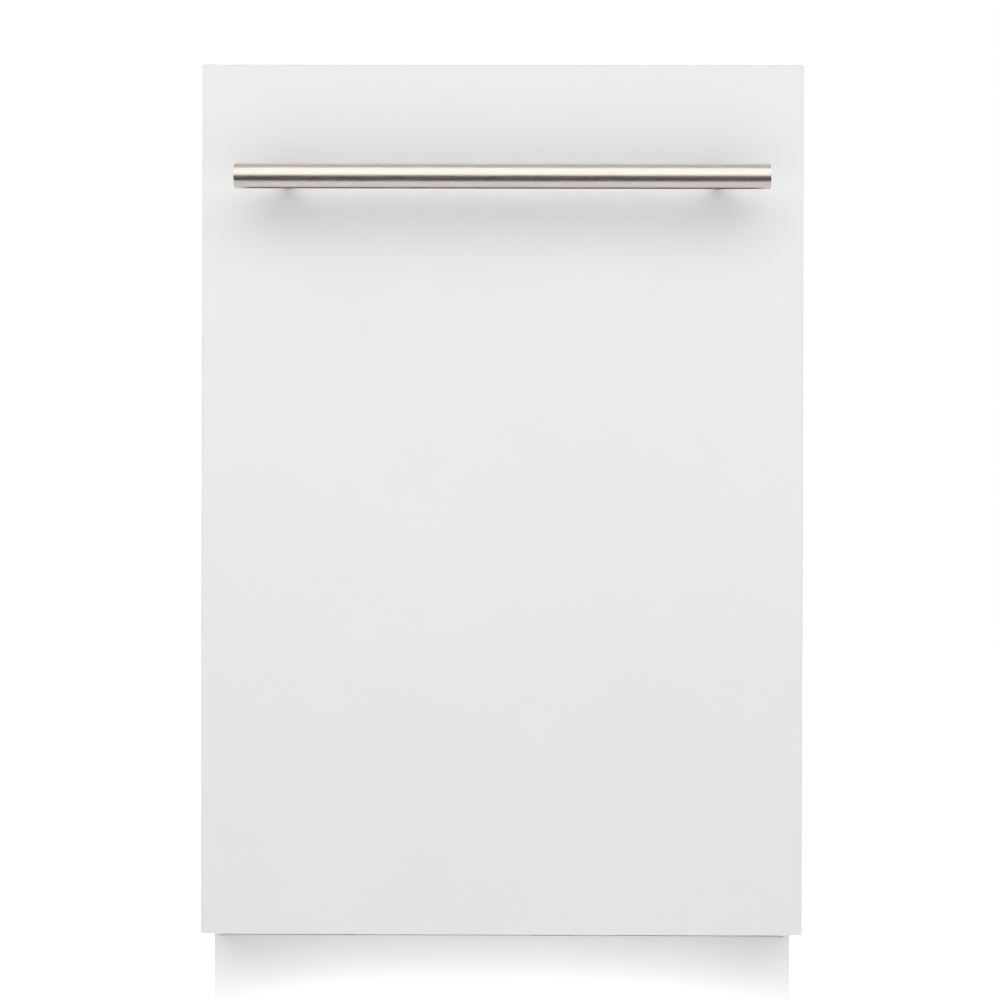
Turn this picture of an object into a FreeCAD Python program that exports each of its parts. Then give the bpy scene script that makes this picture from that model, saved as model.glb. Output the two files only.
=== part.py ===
"""A built-in dishwasher, 448 mm wide, as an assembly of separate pieces.

Frame: +X to the right of someone facing the door, +Y into the cabinet, +Z up, millimetres.
The origin is on the floor, in the middle of the width and of the overall depth.
The door opens about an axis along X near its lower edge. Racks slide out along -Y.
"""
import FreeCAD
import Part
import math
import os
import re
from types import SimpleNamespace

import Sketcher
from FreeCAD import Placement, Rotation, Vector

# ---------------------------------------------------------------- driving dimensions, mm
DIMS = {
    # cabinet
    "unit_half": 224,
    "side_out": 221.5,
    "side_skin": 1,
    "side_front": -204,
    "side_rear": 300,
    "side_low": 28,
    "side_top": 846,
    "flange_in": 208,
    "rear_face": 320,
    "brace_low": 836,
    "brace_top": 844.8,
    "counter_top": 850,
    "tab_depth": -192,
    # base
    "base_half": 220.3,
    "base_front": -185,
    "base_low": 28,
    "base_high": 182,
    "base_wall": 3,
    "kick_face": -190,
    "kick_low": 14,
    "kick_high": 186,
    # door panel and handle
    "panel_face": -270,
    "panel_back": -252,
    "panel_low": 196,
    "panel_high": 844,
    "panel_skin": 1,
    "panel_fold": 20,
    "bar_radius": 9.25,
    "bar_length": 393,
    "bar_centre": -310.75,
    "bar_height": 757,
    "post_offset": 160,
    "post_radius": 6,
    # inner door
    "liner_half": 208,
    "liner_face": -215,
    "liner_low": 193,
    "liner_high": 828,
    "recess_half": 176,
    "recess_depth": 12,
    "recess_low": 232,
    "recess_high": 790,
    "sheet": 1,
    # door pivot
    "hinge_depth": -235,
    "hinge_height": 205,
    "hinge_pin": 5,
    # control strip
    "strip_half": 214,
    "strip_top": 843,
    "button_long": 22,
    "button_wide": 10,
    "button_row": -233,
    # dispenser
    "disp_half": 83,
    "disp_low": 450,
    "disp_high": 560,
    "disp_face": -224,
    "lid_low": 458,
    "lid_high": 540,
    "rinse_across": 48,
    "rinse_height": 505,
    # tub
    "tub_half": 202,
    "tub_front": -208,
    "tub_rear": 290,
    "tub_ceiling": 815,
    "tub_floor_top": 213,
    "ledge_top": 225,
    "ledge_half": 177,
    "tub_corner": 18,
    "lip": 6,
    # sump and spray arms
    "sump_depth": 20,
    "sump_radius": 90,
    "arm_depth": 41,
    "arm_reach": 170,
    "arm_half": 19,
    "arm_thick": 14,
    "low_arm": 245,
    "high_arm": 521,
    "arm_pin": 8,
    "filter_depth": -25,
    "filter_radius": 38,
    # racks
    "wire": 2,
    "rim_wire": 2.6,
    "rack_front": -196,
    "rack_rear": 258,
    "high_half": 184,
    "high_floor": 560,
    "high_rim": 690,
    "low_half": 170,
    "low_floor": 278,
    "low_rim": 440,
    "rail_low": 628,
    "rail_high": 662,
    "rail_front": -200,
    "rail_rear": 240,
    "wheel_radius": 16,
    "wheel_in": 180,
    "wheel_out": 192,
    "front_axle": -105,
    "rear_axle": 200,
    "axle_radius": 3,
    # cutlery basket
    "basket_half": 110,
    "basket_front": -188,
    "basket_rear": -108,
    "basket_low": 284.4,
    "basket_high": 400,
    # feet
    "foot_across": 190,
    "foot_front": -150,
    "foot_rear": 285,
    "foot_radius": 20,
    "stem_radius": 6,
}

doc = FreeCAD.newDocument("dishwasher")
dims = doc.addObject("Spreadsheet::Sheet", "dims")
for row, (alias, value) in enumerate(DIMS.items(), start=1):
    dims.set(f"A{row}", str(value))
    dims.setAlias(f"A{row}", alias)
doc.recompute()
# what the free-form shapes below read from the sheet
d = SimpleNamespace(**{alias: float(dims.get(alias)) for alias in DIMS})
NODES = []


# ---------------------------------------------------------------- small helpers
def bound(text):
    """An expression whose words are read from the sheet."""
    return re.sub(r"[a-z][a-z_]*", lambda m: "dims." + m.group(0) if m.group(0) in DIMS else m.group(0),
        str(text))


def node(thing, label):
    """Marks a document object as a sub-part of its own."""
    thing.Label = label
    NODES.append(thing)
    return thing


def block(name, x0, x1, y0, y1, z0, z1):
    """A box between six planes, each a number or an expression."""
    box = doc.addObject("Part::Box", name)
    for size, low, high in (("Length", x0, x1), ("Width", y0, y1), ("Height", z0, z1)):
        box.setExpression(size, bound(f"({high}) - ({low})"))
    for axis, low in zip("xyz", (x0, y0, z0)):
        box.setExpression(f"Placement.Base.{axis}", bound(low))
    return box


TURNS = {
    "x": Rotation(Vector(0, 1, 0), 90),
    "y": Rotation(Vector(1, 0, 0), -90),
    "z": Rotation(),
}


def rod(name, radius, axis, x, y, z, length):
    """A cylinder that starts at x, y, z and runs along +axis."""
    cylinder = doc.addObject("Part::Cylinder", name)
    cylinder.setExpression("Radius", bound(radius))
    cylinder.setExpression("Height", bound(length))
    cylinder.Placement = Placement(Vector(), TURNS[axis])
    for letter, place in zip("xyz", (x, y, z)):
        cylinder.setExpression(f"Placement.Base.{letter}", bound(place))
    return cylinder


def fuse(name, *parts):
    joined = doc.addObject("Part::MultiFuse", name)
    joined.Shapes = list(parts)
    joined.Refine = True
    return joined


def cut(name, base, *tools):
    """base without the tools."""
    tool = tools[0] if len(tools) == 1 else fuse(name + "_tools", *tools)
    left = doc.addObject("Part::Cut", name)
    left.Base = base
    left.Tool = tool
    left.Refine = True
    return left


def group(name, *parts):
    """Separate solids that share one node."""
    together = doc.addObject("Part::Compound", name)
    together.Links = list(parts)
    return together


def mirrored(name, source):
    """The same piece on the other side of the middle plane."""
    other = doc.addObject("Part::Mirroring", name)
    other.Source = source
    other.Base = Vector(0, 0, 0)
    other.Normal = Vector(1, 0, 0)
    return other


def rounded(name, source, radius, wanted):
    """source with the edges that wanted(edge) picks rounded."""
    doc.recompute()
    picked = [i + 1 for i, edge in enumerate(source.Shape.Edges) if wanted(edge)]
    soft = doc.addObject("Part::Fillet", name)
    soft.Base = source
    soft.Edges = [(i, radius, radius) for i in picked]
    return soft


def along(axis):
    """Picks straight edges that run along x, y or z."""
    want = {"x": Vector(1, 0, 0), "y": Vector(0, 1, 0), "z": Vector(0, 0, 1)}[axis]

    def test(edge):
        if edge.Curve.TypeId != "Part::GeomLine":
            return False
        return abs(edge.Curve.Direction.dot(want)) > 0.999

    return test


def top_corners(edge):
    """Picks the two upper edges that run front to back."""
    return along("y")(edge) and edge.BoundBox.ZMin > 500


def free_form(name, shape):
    """A shape made by Part's own functions, with sizes read from the sheet."""
    made = doc.addObject("Part::Feature", name)
    made.Shape = shape
    made.Placement = shape.Placement
    return made


def tube_along(points, radius, bend):
    """A round bar whose straight runs are joined by tangent arcs of radius bend."""
    corners = [Vector(*p) for p in points]
    edges = []
    start = corners[0]
    for before, corner, after in zip(corners, corners[1:], corners[2:]):
        back = (before - corner).normalize()
        on = (after - corner).normalize()
        half = math.acos(max(-1.0, min(1.0, back.dot(on)))) / 2
        reach = bend / math.tan(half)
        first = corner + back * reach
        last = corner + on * reach
        middle_way = (back + on).normalize()
        middle = corner + middle_way * (bend / math.sin(half) - bend)
        edges.append(Part.LineSegment(start, first).toShape())
        edges.append(Part.Arc(first, middle, last).toShape())
        start = last
    edges.append(Part.LineSegment(start, corners[-1]).toShape())
    path = Part.Wire(edges)
    ring = Part.Wire(Part.Circle(corners[0], (corners[1] - corners[0]).normalize(), radius).toShape())
    return path.makePipeShell([ring], True, False)


def wire_between(a, b, radius):
    """A straight round wire from a to b."""
    a, b = Vector(*a), Vector(*b)
    return Part.makeCylinder(radius, (b - a).Length, a, b - a)


# ---------------------------------------------------------------- sketch helpers
def body_of(name):
    return doc.addObject("PartDesign::Body", name)


def sketch_on(body, plane, name, offset=0):
    """A sketch on one of its body's own planes, moved along that plane's normal."""
    sketch = body.newObject("Sketcher::SketchObject", name)
    origin_plane = next(o for o in body.Origin.OriginFeatures if o.Role == plane)
    sketch.AttachmentSupport = [(origin_plane, "")]
    sketch.MapMode = "FlatFace"
    sketch.setExpression("AttachmentOffset.Base.z", bound(offset))
    return sketch


def distance(sketch, kind, geometry, point, value, start):
    number = sketch.addConstraint(Sketcher.Constraint(kind, -1, 1, geometry, point, start))
    sketch.setExpression(f"Constraints[{number}]", bound(value))


def add_rectangle(sketch, x0, y0, x1, y1):
    corners = [Vector(-1, -1, 0), Vector(1, -1, 0), Vector(1, 1, 0), Vector(-1, 1, 0)]
    lines = [sketch.addGeometry(Part.LineSegment(corners[i], corners[(i + 1) % 4]),
        False) for i in range(4)]
    for i in range(4):
        sketch.addConstraint(Sketcher.Constraint("Coincident", lines[i], 2, lines[(i + 1) % 4], 1))
        sketch.addConstraint(Sketcher.Constraint("Vertical" if i % 2 else "Horizontal", lines[i]))
    distance(sketch, "DistanceX", lines[0], 1, x0, -1)
    distance(sketch, "DistanceY", lines[0], 1, y0, -1)
    distance(sketch, "DistanceX", lines[2], 1, x1, 1)
    distance(sketch, "DistanceY", lines[2], 1, y1, 1)


def add_circle(sketch, x, y, radius):
    circle = sketch.addGeometry(Part.Circle(Vector(0, 0, 0), Vector(0, 0, 1), 1), False)
    distance(sketch, "DistanceX", circle, 3, x, 0.0)
    distance(sketch, "DistanceY", circle, 3, y, 0.0)
    number = sketch.addConstraint(Sketcher.Constraint("Radius", circle, 1.0))
    sketch.setExpression(f"Constraints[{number}]", bound(radius))


def add_polygon(sketch, points):
    """A closed outline; every corner is held by two dimensions."""
    count = len(points)
    ring = [Vector(math.cos(2 * math.pi * i / count), math.sin(2 * math.pi * i / count),
        0) for i in range(count)]
    lines = [sketch.addGeometry(Part.LineSegment(ring[i], ring[(i + 1) % count]),
        False) for i in range(count)]
    for i in range(count):
        sketch.addConstraint(Sketcher.Constraint("Coincident", lines[i], 2, lines[(i + 1) % count], 1))
    for line, corner, (x, y) in zip(lines, ring, points):
        distance(sketch, "DistanceX", line, 1, x, corner.x)
        distance(sketch, "DistanceY", line, 1, y, corner.y)


def pad(body, sketch, length, backwards=False):
    feature = body.newObject("PartDesign::Pad", sketch.Name + "_pad")
    feature.Profile = sketch
    feature.setExpression("Length", bound(length))
    feature.Reversed = backwards
    return feature


def pocket(body, sketch, depth, backwards=False):
    """Cuts the sketch's outline out of the body, and makes sure that it did."""
    doc.recompute()
    before = body.Shape.Volume
    feature = body.newObject("PartDesign::Pocket", sketch.Name + "_pocket")
    feature.Profile = sketch
    feature.setExpression("Length", bound(depth))
    feature.Reversed = backwards
    doc.recompute()
    if not body.Shape.Volume < before - 1e-6:
        raise RuntimeError(f"{feature.Name} cuts nothing")
    return feature


def revolve(body, sketch, axis="V_Axis"):
    feature = body.newObject("PartDesign::Revolution", sketch.Name + "_turn")
    feature.Profile = sketch
    feature.ReferenceAxis = (sketch, [axis])
    feature.Angle = 360
    return feature


def soften(body, feature, radius, wanted):
    """A PartDesign fillet on the edges of feature that wanted(edge) picks."""
    doc.recompute()
    edges = [f"Edge{i + 1}" for i, edge in enumerate(feature.Shape.Edges) if wanted(edge)]
    fillet = body.newObject("PartDesign::Fillet", feature.Name + "_soft")
    fillet.Base = (feature, edges)
    fillet.Radius = radius
    return fillet


def place(thing, x=0, y=0, z=0):
    for axis, value in zip("xyz", (x, y, z)):
        thing.setExpression(f"Placement.Base.{axis}", bound(value))
    return thing


# ================================================================ cabinet
def base_pan():
    """Moulded tray that carries the pumps, with cut-outs in its rear wall and a boss for each foot."""
    body = body_of("base_tray")
    outline = sketch_on(body, "XY_Plane", "base_outline", "base_low")
    add_rectangle(outline, "-base_half", "base_front", "base_half", "rear_face")
    outer = pad(body, outline, "base_high - base_low")
    soften(body, outer, 12, along("z"))
    inside = sketch_on(body, "XY_Plane", "base_inside", "base_high")
    add_rectangle(inside, "-base_half + base_wall", "base_front + base_wall", "base_half - base_wall",
        "rear_face - base_wall")
    pocket(body, inside, "base_high - base_low - base_wall")
    bosses = []
    for side, x, y in (("a", "foot_across", "foot_front"), ("b", "-foot_across", "foot_front"),
            ("c", 0, "foot_rear")):
        bosses.append(rod("foot_boss_" + side, "stem_radius + 5", "z", x, y, "base_low + base_wall", 28))
    ribs = [
        block("pump_rest_front", -140, -70, 70, 75, "base_low + 2", 51.9),
        block("pump_rest_rear", -140, -70, 190, 195, "base_low + 2", 55.9),
        block("drain_rest", 106, 123, -6, -2, "base_low + 2", 70.9),
        block("spring_post_right", 203.5, 217.5, 45, 52, 160, 202),
        block("spring_post_left", -217.5, -203.5, 45, 52, 160, 202),
    ]
    tray = fuse("base_with_bosses", body, *bosses, *ribs)
    holes = [
        rod("foot_bore_right", "stem_radius + 0.08", "z", "foot_across", "foot_front", 20, 60),
        rod("foot_bore_left", "stem_radius + 0.08", "z", "-foot_across", "foot_front", 20, 60),
        rod("foot_bore_rear", "stem_radius + 0.08", "z", 0, "foot_rear", 20, 60),
        block("rear_opening", -185, 185, 310, 330, 58, 190),
    ]
    return node(cut("base_finished", tray, *holes), "base_pan")


def toe_kick():
    """Folded white kick plate under the door, with a lip at the top and the bottom."""
    reach = "side_out - 0.1"
    face = block("kick_plate", f"-({reach})", reach, "kick_face", "kick_face + 1", "kick_low",
        "kick_high")
    top = block("kick_top_lip", "-base_half", "base_half", "kick_face", "base_front + 5", "kick_high - 1",
        "kick_high")
    foot = block("kick_low_lip", "-base_half", "base_half", "kick_face", "kick_face + 12", "kick_low",
        "kick_low + 1")
    return node(fuse("kick_folded", face, top, foot), "toe_kick")


def side_panel():
    """Galvanised side sheet with ribs, a top flange, two cabinet holes and a notch for the kick plate."""
    body = body_of("side_sheet")
    sheet = sketch_on(body, "YZ_Plane", "side_outline", "side_out - side_skin")
    add_rectangle(sheet, "side_front", "side_low", "side_rear", "side_top")
    plate = pad(body, sheet, "side_skin")
    rib = sketch_on(body, "YZ_Plane", "side_rib", "side_out - side_skin")
    add_rectangle(rib, "side_front + 50", 250, "side_rear - 40", 280)
    pressed = pad(body, rib, "0.8", backwards=True)
    relief = sketch_on(body, "YZ_Plane", "side_relief", "side_out")
    add_rectangle(relief, "side_front + 52", 252, "side_rear - 42", 278)
    hollow = pocket(body, relief, "side_skin * 0.7")
    rows = body.newObject("PartDesign::LinearPattern", "side_ribs")
    rows.Originals = [pressed, hollow]
    rows.Direction = (sheet, ["V_Axis"])
    rows.Length = 450
    rows.Occurrences = 4
    body.Tip = rows
    doc.recompute()
    holes = sketch_on(body, "YZ_Plane", "side_holes", "side_out")
    for height in (300, 700):
        add_circle(holes, "side_front + 10", height, 2.5)
    pocket(body, holes, "side_skin + 1")
    flange = block("side_flange", "flange_in", "side_out - side_skin", "side_front", "side_rear",
        "side_top - 1", "side_top")
    notch = block("kick_notch", "side_out - 2", "side_out + 1", "side_front - 1", "kick_face + 2", 0,
        "kick_high + 4")
    right = node(cut("side_right", fuse("side_folded", body, flange), notch), "right_side_panel")
    node(mirrored("side_left", right), "left_side_panel")


def insulation_mats():
    """Four felt mats around the tub: left, right, top and back."""
    side = block("mat_right", 205, 218.5, -160, 288, 240, 812)
    top = block("mat_top", -200, 200, -160, 288, 818, 834)
    back = block("mat_back", -198, 198, 293, 305, 222, 812)
    return node(group("mats", side, mirrored("mat_left", side), top, back), "insulation_mats")


def frame_braces():
    """Two folded braces that tie the side sheets together, with a driver hole under each worktop tab."""
    reach = "side_out - side_skin - 0.2"
    front = fuse(
        "front_brace",
        block("front_web", f"-({reach})", reach, -205, -172, "brace_top - 1.2", "brace_top"),
        block("front_lip", f"-({reach})", reach, -205, -203.8, "brace_low", "brace_top"),
        block("front_back_lip", f"-({reach})", reach, -173.2, -172, "brace_low", "brace_top"),
    )
    rear = fuse(
        "rear_brace",
        block("rear_web", f"-({reach})", reach, 268, 300, "brace_top - 1.2", "brace_top"),
        block("rear_lip", f"-({reach})", reach, 298.8, 300, 815, "brace_top"),
    )
    holes = [rod("driver_hole_" + name, 5, "z", x, "tab_depth", "brace_low", 20) for name,
        x in (("a", 150), ("b", -150))]
    return node(group("braces", cut("front_brace_bored", front, *holes), rear), "frame_braces")


def counter_brackets():
    """Two bent tabs that are screwed up into the worktop."""
    top = block("tab_top", 132, 168, -202, -180, "counter_top - 1.5", "counter_top")
    riser = block("tab_riser", 132, 168, -181.5, -180, "brace_top", "counter_top")
    foot = block("tab_foot", 132, 168, -181.5, -160, "brace_top", "brace_top + 1.5")
    hole = rod("tab_hole", 2.5, "z", 150, "tab_depth", "brace_top", 20)
    right = cut("bracket_right", fuse("bracket_bent", top, riser, foot), hole)
    return node(group("brackets", right, mirrored("bracket_left", right)), "counter_brackets")


# ================================================================ tub
def tub_wrap():
    """One stainless sheet folded over the left, the top and the right, with a flange round its mouth."""
    outer = rounded("wrap_outer", block("wrap_out", "-tub_half - sheet", "tub_half + sheet", "tub_front",
        "tub_rear + sheet", "tub_floor_top + 1", "tub_ceiling + sheet"), 19, top_corners)
    hollow = rounded("wrap_inner", block("wrap_in", "-tub_half", "tub_half", "tub_front - 20",
        "tub_rear + 20", 150, "tub_ceiling"), 18, top_corners)
    flange = rounded("wrap_flange", block("flange_out", "-tub_half - lip", "tub_half + lip", "tub_front",
        "tub_front + sheet", "tub_floor_top + 1", "liner_high"), 14, top_corners)
    return node(cut("wrap_folded", fuse("wrap_solid", outer, flange), hollow), "tub_wrap")


def tub_back():
    """Back wall of the tub with two pressed ribs."""
    wall = rounded("back_round", block("back_plate", "-tub_half + 0.2", "tub_half - 0.2", "tub_rear - 1",
        "tub_rear", "tub_floor_top + 1", "tub_ceiling - 0.2"), 18, top_corners)
    ribs = []
    for number, side in enumerate((-1, 1)):
        ribs.append(block(f"back_rib_{number}", f"{side} * 95 - 24", f"{side} * 95 + 24", "tub_rear - 3",
            "tub_rear - 1", 300, 760))
    return node(fuse("back_pressed", wall, *ribs), "tub_back")


def tub_floor():
    """Floor pressing: a flat pan with a hole for the sump, a raised ledge each side and a front dam."""
    plate = block("floor_plate", "-tub_half - sheet", "tub_half + sheet", "tub_front + 1", "tub_rear + 1",
                  "tub_floor_top - sheet", "tub_floor_top")
    ledges = []
    for side, low, high in (("right", "ledge_half", "tub_half - 0.3"),
            ("left", "-tub_half + 0.3", "-ledge_half")):
        wall = "ledge_half" if side == "right" else "-ledge_half - sheet"
        ledges.append(block("ledge_top_" + side, low, high, "tub_front + 1", "tub_rear - 1.2",
            "ledge_top - sheet", "ledge_top"))
        ledges.append(block("ledge_wall_" + side, wall, f"{wall} + sheet", "tub_front + 1",
            "tub_rear - 1.2", "tub_floor_top - sheet", "ledge_top"))
    dam = [
        block("dam_front", "-tub_half + 0.3", "tub_half - 0.3", "tub_front", "tub_front + 1", 196,
            "ledge_top"),
        block("dam_top", "-tub_half + 0.3", "tub_half - 0.3", "tub_front", "tub_front + 14",
            "ledge_top - sheet", "ledge_top"),
        block("dam_back", "-tub_half + 0.3", "tub_half - 0.3", "tub_front + 13", "tub_front + 14",
              "tub_floor_top - sheet", "ledge_top"),
    ]
    guide = rod("float_guide", 6, "z", -140, -150, "tub_floor_top - sheet", 14)
    holes = [rod("sump_hole", "sump_radius + 2", "z", 0, "sump_depth", 200, 30),
        rod("feed_hole", 10.3, "z", 0, 262, 200, 30)]
    return node(cut("floor_pressed", fuse("floor_solid", plate, guide, *ledges, *dam), *holes),
        "tub_floor")


def tub_gasket():
    """Rubber seal pressed on the flange round the mouth of the tub, open at the bottom."""
    outer = rounded("gasket_outer", block("gasket_out", "-tub_half - lip + 1", "tub_half + lip - 1",
        "liner_face + 0.3", "tub_front - 0.02", 226, "liner_high - 1.5"), 14, top_corners)
    hole = rounded("gasket_inner", block("gasket_in", "-tub_half + 1", "tub_half - 1", -240, -190, 200,
                   "liner_high - 12"), 10, top_corners)
    return node(cut("gasket_ring", outer, hole), "tub_gasket")


def feed_pipe():
    """Flat duct up the back wall and along the ceiling, with a rack socket and a ceiling nozzle."""
    rise = fuse("riser", block("duct_rise", -16, 16, 272, 286.8, "tub_floor_top + 6.3", 800.9),
                rod("duct_socket", 14, "y", 0, 262, 548, 12))
    ceiling = block("duct_ceiling", -16, 16, "arm_depth + 26.5", 286.8, 801, 813.5)
    nozzle = rod("duct_nozzle", 26, "z", 0, "arm_depth", 792, 21.5)
    jets = [rod(f"ceiling_jet_{i}", 1.6, "z", 16 * math.cos(i * math.pi / 3),
        f"arm_depth + {16 * math.sin(i * math.pi / 3)}", 780, 20) for i in range(6)]
    foot = fuse("duct_foot", rod("duct_collar", 24, "z", 0, 262, "tub_floor_top + 0.2", 6),
                rod("duct_stub", 10, "z", 0, 262, 203, "tub_floor_top - 200"))
    return node(group("duct", cut("riser_open", rise, rod("socket_bore", 10, "y", 0, 250, 548, 30)),
        ceiling, cut("nozzle_drilled", nozzle, *jets), foot), "feed_pipe")


# ================================================================ sump, filters and pumps
def sump():
    """Moulded bowl under the floor, with a suction stub and a drain stub."""
    bowl = rod("bowl", "sump_radius", "z", 0, "sump_depth", 152, 59.8)
    rim = rod("bowl_rim", "sump_radius + 9", "z", 0, "sump_depth", 208, 3.8)
    stubs = [
        rod("suction_stub", 15, "x", "-sump_radius - 12", "sump_depth - 30", 176, 30),
        rod("drain_stub", 12, "x", "sump_radius - 18", "sump_depth - 30", 176, 30),
    ]
    hollow = [
        rod("bowl_inside", "sump_radius - 4", "z", 0, "sump_depth", 156, 70),
        rod("suction_bore", 11, "x", "-sump_radius - 20", "sump_depth - 30", 176, 60),
        rod("drain_bore", 8, "x", "sump_radius - 50", "sump_depth - 30", 176, 80),
    ]
    return node(cut("bowl_hollow", fuse("bowl_solid", bowl, rim, *stubs), *hollow), "sump")


def filter_plate():
    """Flat stainless strainer that covers the sump round the filter and the arm post."""
    disc = rod("strainer", "sump_radius + 1", "z", 0, "sump_depth", "tub_floor_top - 1.1", 1.2)
    holes = [
        rod("strainer_cup_hole", "filter_radius + 1.5", "z", 0, "filter_depth", 200, 30),
        rod("strainer_post_hole", 16, "z", 0, "arm_depth", 200, 30),
    ]
    rings = []
    for number in range(20):
        turn = 2 * math.pi * number / 20
        x, y = 76 * math.cos(turn), 76 * math.sin(turn)
        rings.append(rod(f"strainer_hole_{number}", 3, "z", x, f"sump_depth + {y}", 200, 30))
    return node(cut("strainer_cut", disc, *holes, *rings), "filter_plate")


def filter_cup():
    """Round filter insert with an open top, a wide rim and a bridge to turn it by."""
    body = body_of("cup_turned")
    half = sketch_on(body, "XZ_Plane", "cup_profile")
    add_polygon(half, [(0, 165), ("filter_radius", 165), ("filter_radius", 213.6),
        ("filter_radius + 5", 213.6), ("filter_radius + 5", 216), ("filter_radius - 2.5", 216),
        ("filter_radius - 2.5", 168), (0, 168)])
    revolve(body, half)
    bridge = block("cup_bridge", "-filter_radius + 1", "filter_radius - 1", -3, 3, 212, 228)
    whole = fuse("cup_whole", body, bridge)
    return node(place(whole, 0, "filter_depth", 0), "filter_cup")


def arm_post():
    """Column on the strainer that carries the lower spray arm."""
    column = rod("post_column", 15, "z", 0, "arm_depth", 157, 86.5)
    pin = rod("post_pin", "arm_pin", "z", 0, "arm_depth", 240, 18)
    return node(fuse("post", column, pin), "lower_arm_post")


def spray_arm(name, label, low, hub_low, hub_high, bore_low, bore_high, jets_up):
    """A hollow-looking blade with rounded ends, a hub with a blind bearing bore, and a row of jets."""
    body = body_of(name)
    blade = sketch_on(body, "XY_Plane", name + "_blade", low)
    add_polygon(blade, [("-arm_reach", "-arm_half * 0.55"), (-24, "-arm_half"), (24, "-arm_half"),
        ("arm_reach", "-arm_half * 0.55"), ("arm_reach", "arm_half * 0.55"), (24, "arm_half"),
        (-24, "arm_half"), ("-arm_reach", "arm_half * 0.55")])
    solid = pad(body, blade, "arm_thick")
    soften(body, solid, 8, along("z"))
    hub = rod(name + "_hub", 21, "z", 0, 0, hub_low, f"{hub_high} - ({hub_low})")
    bore = rod(name + "_bore", "arm_pin + 0.08", "z", 0, 0, bore_low, f"{bore_high} - ({bore_low})")
    jets = []
    for number, x in enumerate((-158, -134, -108, -80, -52, 52, 80, 108, 134, 158)):
        jets.append(rod(f"{name}_jet_{number}", 1.8, "z", x, 0, f"{low} + {8 if jets_up else -1}", 8))
    arm = cut(name + "_drilled", fuse(name + "_solid", body, hub), bore, *jets)
    return node(place(arm, 0, "arm_depth", 0), label)


def pumps():
    """Circulation pump with its motor and rotor, and the drain pump."""
    volute = cut(
        "volute",
        fuse("volute_solid", rod("volute_case", 46, "y", -105, 60, 98, 34),
            rod("volute_inlet", 14, "y", -105, 42, 98, 20),
             block("volute_outlet", -115, -95, 64, 90, 98, 146)),
        rod("volute_hollow", 40, "y", -105, 63, 98, 28), rod("volute_eye", 10, "y", -105, 30, 98, 40),
        block("outlet_bore", -111, -99, 69, 85, 100, 150),
    )
    can = cut(
        "motor_can",
        fuse("can_solid", rod("can_case", 42, "y", -105, 94.05, 98, 110),
            rod("can_terminal", 8, "z", -105, 180, 130, 16)),
        rod("can_hollow", 38, "y", -105, 97, 98, 104), rod("can_bore", 5.06, "y", -105, 90, 98, 10),
    )
    stator = cut("stator", rod("stator_ring", 37.8, "y", -105, 110, 98, 70),
        rod("stator_bore", 24, "y", -105, 100, 98, 90))
    volute_open = cut("volute_open", volute, rod("shaft_hole", 5.06, "y", -105, 85, 98, 20))
    node(group("pump_set", volute_open, can, stator), "circulation_pump")
    vanes = []
    for number in range(6):
        vane = block(f"vane_{number}", 9, 34, -1.2, 1.2, 66, 82)
        turned = doc.addObject("Part::Compound", f"vane_turned_{number}")
        turned.Links = [vane]
        turned.Placement = Placement(Vector(), Rotation(Vector(0, 0, 1), 60 * number))
        vanes.append(turned)
    spindle = fuse("rotor_upright", rod("rotor_disc", 34, "z", 0, 0, 81, 3),
        rod("rotor_hub", 11, "z", 0, 0, 66, 18), rod("rotor_shaft", 5, "z", 0, 0, 66, 120),
        rod("rotor_core", 22, "z", 0, 0, 112, 64), *vanes)
    spindle.Placement = Placement(Vector(-105, 0, 98), Rotation(Vector(1, 0, 0), -90))
    node(spindle, "pump_rotor")
    drain = fuse("drain_set", rod("drain_volute", 27, "y", 125, -14, 98, 26),
        rod("drain_motor", 22, "y", 125, 10, 98, 48), rod("drain_in", 9, "z", 125, 0, 98, 40),
        rod("drain_out", 9, "x", 125, 0, 76, 40))
    node(drain, "drain_pump")


def water_hoses():
    """Hoses in the base: sump to pump, pump to feed pipe, sump to drain pump, drain pump to outlet."""
    suction = tube_along([(-103, -10, 176), (-140, -10, 176), (-140, -10, 98), (-105, 5, 98),
        (-105, 41.5, 98)], 12, 15)
    pressure = tube_along([(-105, 77, 146.3), (-105, 77, 184), (-105, 150, 184), (0, 215, 184),
        (0, 262, 184), (0, 262, 202.8)], 9, 14)
    drain = tube_along([(103, -10, 176), (125, -10, 176), (125, 0, 160), (125, 0, 138.5)], 8, 7)
    outlet = tube_along([(165.5, 0, 76), (195, 0, 76), (195, 60, 60), (195, 230, 60), (150, 225, 120),
        (150, 269.7, 120)], 8, 14)
    pieces = [free_form(name, shape) for name, shape in (("suction_hose", suction),
        ("pressure_hose", pressure), ("drain_link", drain), ("outlet_hose", outlet))]
    return node(group("hoses", *pieces), "water_hoses")


def inlet_valve():
    """Solenoid valve with a threaded water inlet that faces the rear, and the drain spigot beside it."""
    body = rounded("valve_soft", block("valve_body", -168, -132, 262, 298, 74, 106), 3, along("z"))
    inlet = rod("valve_thread", 13.2, "y", -150, 296, 90, 22)
    coil = rod("valve_coil", 13, "z", -150, 276, 104, 30)
    bore = rod("valve_bore", 9, "y", -150, 300, 90, 30)
    valve = cut("valve", fuse("valve_solid", body, inlet, coil), bore)
    flange = block("spigot_flange", 128, 172, 290, 294, 98, 142)
    spigot = fuse("spigot_solid", flange, rod("spigot_tube", 10, "y", 150, 270, 120, 48),
        block("spigot_foot", 128, 172, 290, 317, 98, 100))
    outlet = cut("spigot", spigot, rod("spigot_bore", 7, "y", 150, 260, 120, 70))
    return node(group("water_connections", valve, outlet), "inlet_valve")


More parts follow.
